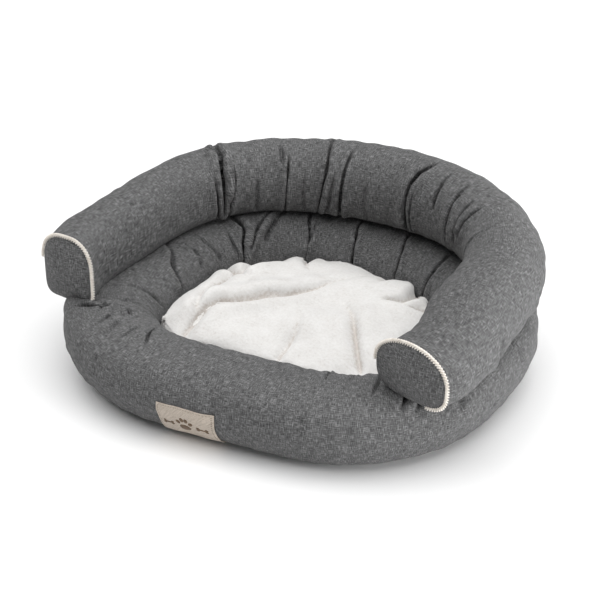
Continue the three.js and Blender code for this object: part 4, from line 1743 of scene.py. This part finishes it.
@dataclass
class FloorOfBed:
    """The base cloth with its grip dots, and the quilted pad and lining under the cushion."""

    plan: Plan
    wall: StuffedWall
    base_inset: float = 0.048
    base_top: float = 0.0012
    dot_height: float = 0.0006
    dot_radius: float = 0.0016
    dot_spacing: float = 0.016
    pad_bottom: float = 0.0017
    pad_top: float = 0.0113
    lining_top: float = 0.0131
    lining: float = 0.0008
    quilt: float = 0.055
    groove: float = 0.0024

    def square(self, offset: float, count: int) -> np.ndarray:
        """A flat square grid drawn round to the plan's outline moved outwards by an offset.

        Args:
            offset: How far outwards, in metres.
            count: Points along each side.

        Returns:
            The points.
        """
        x, y = np.meshgrid(np.linspace(-1, 1, count), np.linspace(-1, 1, count), indexing="ij")
        u, v = x * np.sqrt(1 - y**2 / 2), y * np.sqrt(1 - x**2 / 2)
        size, angle = np.minimum(np.hypot(u, v), 1), np.arctan2(v, u)
        spine = Spine.along_plan(self.plan, angle.ravel())
        outline = (spine.point + spine.out * offset).reshape(angle.shape + (2,))
        middle = outline.reshape(-1, 2).mean(0)
        return middle + (outline - middle) * size[..., None]

    def quilted(self, flat: np.ndarray) -> np.ndarray:
        """How far the quilting pulls points down: crossing lines of stitches.

        Args:
            flat: The points, as (x, y).

        Returns:
            How far down, in metres.
        """
        total = np.zeros(flat.shape[:-1])
        for way in (1, -1):
            across = (flat[..., 0] + way * flat[..., 1]) / math.sqrt(2)
            near = np.abs((across / self.quilt + 0.5) % 1 - 0.5) * self.quilt
            total = np.maximum(total, np.exp(-((near / 0.005) ** 1.3)))
        return total * self.groove

    def build(self) -> list[bpy.types.Object]:
        """Makes and dresses the pieces."""
        return [self.base(), self.dots(), self.pad(), self.inside()]

    def base(self) -> bpy.types.Object:
        """The cloth underneath."""
        count = 100
        flat = self.square(-self.base_inset, count)
        height = self.base_top - 0.0002 + 0.00015 * ripple(flat[..., 0], flat[..., 1], 0.06, 31)
        points = np.concatenate([flat, height[..., None]], -1)
        piece = square_piece("base_cloth", points, True)
        thickened(piece, 0.0005)
        BASE_CLOTH.dress(piece)
        return worn(piece, BED, "base_fabric", "base_panel")

    def dots(self) -> bpy.types.Object:
        """The grip dots under the base cloth."""
        bpy.ops.object.select_all(action="DESELECT")
        bpy.ops.mesh.primitive_uv_sphere_add(segments=8, ring_count=4, radius=1)
        dome = bpy.context.active_object
        shape = np.array([v.co[:] for v in dome.data.vertices])
        dome_faces = [tuple(face.vertices) for face in dome.data.polygons]
        bpy.data.objects.remove(dome)
        shape = shape * [self.dot_radius, self.dot_radius, self.dot_height / 2]
        low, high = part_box("base_panel")
        reach = -self.base_inset - 0.008
        outline = Spine.along_plan(self.plan, np.linspace(0, math.tau, 240, endpoint=False))
        outline = outline.point + outline.out * reach
        middle = outline.mean(0)
        angles = np.arctan2(*(outline - middle).T[::-1])
        order = np.argsort(angles)
        limits = np.linalg.norm(outline - middle, axis=1)[order]
        vertices, faces = [], []
        rows = int((high.y - low.y) / (self.dot_spacing * 0.866)) + 1
        for row in range(rows):
            y = low.y + row * self.dot_spacing * 0.866
            for column in range(int((high.x - low.x) / self.dot_spacing) + 1):
                x = low.x + (column + 0.5 * (row % 2)) * self.dot_spacing
                off = np.array([x, y]) - middle
                bearing = np.arctan2(off[1], off[0])
                if np.hypot(*off) > np.interp(bearing, angles[order], limits, period=math.tau):
                    continue
                faces += [tuple(len(vertices) + v for v in face) for face in dome_faces]
                vertices += (shape + [x, y, self.dot_height / 2 + 0.0001]).tolist()
        mesh = bpy.data.meshes.new("grip_dots")
        mesh.from_pydata(vertices, [], faces)
        mesh.shade_smooth()
        piece = linked("grip_dots", mesh)
        RUBBER.dress(piece)
        return worn(piece, BED, "base_fabric")

    def pad(self) -> bpy.types.Object:
        """The thin pad under the lining."""
        flat = self.square(-self.wall.thickness - 0.0012, 110)
        dip = self.quilted(flat)
        upper = np.concatenate([flat, (self.pad_top - dip)[..., None]], -1)
        lower = np.concatenate([flat, np.full(dip.shape + (1,), self.pad_bottom)], -1)
        piece = joined_faces("pad_fibre", upper, lower)
        FIBRE.dress(piece)
        return worn(piece, BED, "fibre_filling", "floor_pad")

    def inside(self) -> bpy.types.Object:
        """The lining of the well's floor."""
        flat = self.square(-self.wall.thickness - 0.0010, 170)
        height = self.lining_top - self.quilted(flat)
        piece = square_piece("quilted_lining", np.concatenate([flat, height[..., None]], -1), True)
        thickened(piece, self.lining)
        LINING.dress(piece)
        return worn(piece, BED, "lining_fabric", "floor_lining")


THREAD = Yarn("brown_thread", (0.075, 0.045, 0.025), (0.17, 0.11, 0.065), 0.0005, 0.0002)


# ---- The studio ----


@dataclass(frozen=True)
class Studio:
    """The pale floor, the soft lights and the camera."""

    target: tuple[float, float, float] = (-0.01246, 0.00977, 0.07839)
    azimuth: float = 27.8
    elevation: float = 30.754
    distance: float = 2.4829
    lens: float = 113.3
    floor_size: float = 12.0

    def build(self) -> None:
        """Sets everything up."""
        self.floor()
        self.world()
        self.daylight((-0.08, 0.04, 1.8), 85, 3.3)
        self.light("right_softbox", (2.2, -0.05, 0.36), 1.0, 42)
        self.camera()

    def floor(self) -> None:
        """A plain pale floor."""
        bpy.ops.object.select_all(action="DESELECT")
        bpy.ops.mesh.primitive_plane_add(size=self.floor_size)
        floor = bpy.context.active_object
        floor.name = "studio_floor"
        shade = Shade("studio_paper", 0.9, Specular_IOR_Level=0.1)
        at = shade.node("TexCoord").outputs["Object"]
        grain = shade.noise(shade.stretched(at, (0.4, 0.4, 0.4)))
        colour = shade.ramp(grain, (0.3, (0.90, 0.90, 0.90)), (0.7, (0.92, 0.92, 0.92)))
        shade.dress(floor, colour, grain, 0.0001)

    def world(self) -> None:
        """A white surround."""
        world = bpy.data.worlds.new("studio_air")
        world.use_nodes = True
        world.node_tree.nodes["Background"].inputs["Color"].default_value = (1, 1, 1, 1)
        world.node_tree.nodes["Background"].inputs["Strength"].default_value = 0.2
        bpy.context.scene.world = world
        bpy.context.scene.view_settings.view_transform = "Standard"

    def daylight(self, place: tuple[float, float, float], spread: float, strength: float) -> None:
        """A broad even light from a direction, its spread in degrees.

        Args:
            place: The direction that it comes from.
            spread: Its angle, in degrees.
            strength: Its power.
        """
        lamp = bpy.data.lights.new("daylight", "SUN")
        lamp.angle = math.radians(spread)
        lamp.energy = strength
        light = bpy.data.objects.new("daylight", lamp)
        light.rotation_euler = (-Vector(place)).to_track_quat("-Z", "Y").to_euler()
        bpy.context.scene.collection.objects.link(light)

    def light(self, name: str, place: tuple[float, float, float], size: float, power: float) -> None:
        """A soft square light that faces the bed.

        Args:
            name: The light's name.
            place: Where it stands.
            size: Its side, in metres.
            power: Its power, in watts.
        """
        lamp = bpy.data.lights.new(name, "AREA")
        lamp.size = size
        lamp.energy = power
        light = bpy.data.objects.new(name, lamp)
        light.location = place
        light.rotation_euler = (Vector(self.target) - Vector(place)).to_track_quat("-Z", "Y").to_euler()
        bpy.context.scene.collection.objects.link(light)

    def camera(self) -> None:
        """The camera, from the front and a little from the right."""
        lens = bpy.data.cameras.new("studio_camera")
        lens.lens = self.lens
        lens.sensor_width = 36
        camera = bpy.data.objects.new("studio_camera", lens)
        a, e = math.radians(self.azimuth), math.radians(self.elevation)
        back = Vector((math.sin(a) * math.cos(e), -math.cos(a) * math.cos(e), math.sin(e)))
        camera.location = Vector(self.target) + back * self.distance
        camera.rotation_euler = (-back).to_track_quat("-Z", "Y").to_euler()
        bpy.context.scene.collection.objects.link(camera)
        bpy.context.scene.camera = camera


def main() -> None:
    """Builds the bed, piece by piece, and the studio round it."""
    logging.basicConfig(level=logging.INFO, format="%(message)s")
    Studio().build()
    plan = Plan()
    wall = StuffedWall(plan)
    skin = wall.build()
    ring = skin.piece("wall_cloth")
    GREY.dress(ring)
    worn(ring, BED, "grey_fabric", "wall_cover", "wall_filling")
    roll = BackRoll(plan, wall)
    roll_skin = roll.build()
    tube = roll_skin.piece("roll_cloth")
    GREY.dress(tube)
    worn(tube, BED, "grey_fabric", "roll_cover", "roll_filling")
    rims = roll.rims(roll_skin)
    EndPanel(Side.RIGHT, puckers=RIGHT_PUCKERS).build(rims[Side.RIGHT])
    EndPanel(Side.LEFT, puckers=LEFT_PUCKERS).build(rims[Side.LEFT])
    TwistedPiping(Side.RIGHT, (76.0, 2.0)).build(rims[Side.RIGHT])
    TwistedPiping(Side.LEFT, (-4.0, 42.0)).build(rims[Side.LEFT])
    FrontPatch(wall, skin).build()
    PlushCushion(plan, wall).build(ring)
    FloorOfBed(plan, wall).build()


if __name__ == "__main__":
    main()
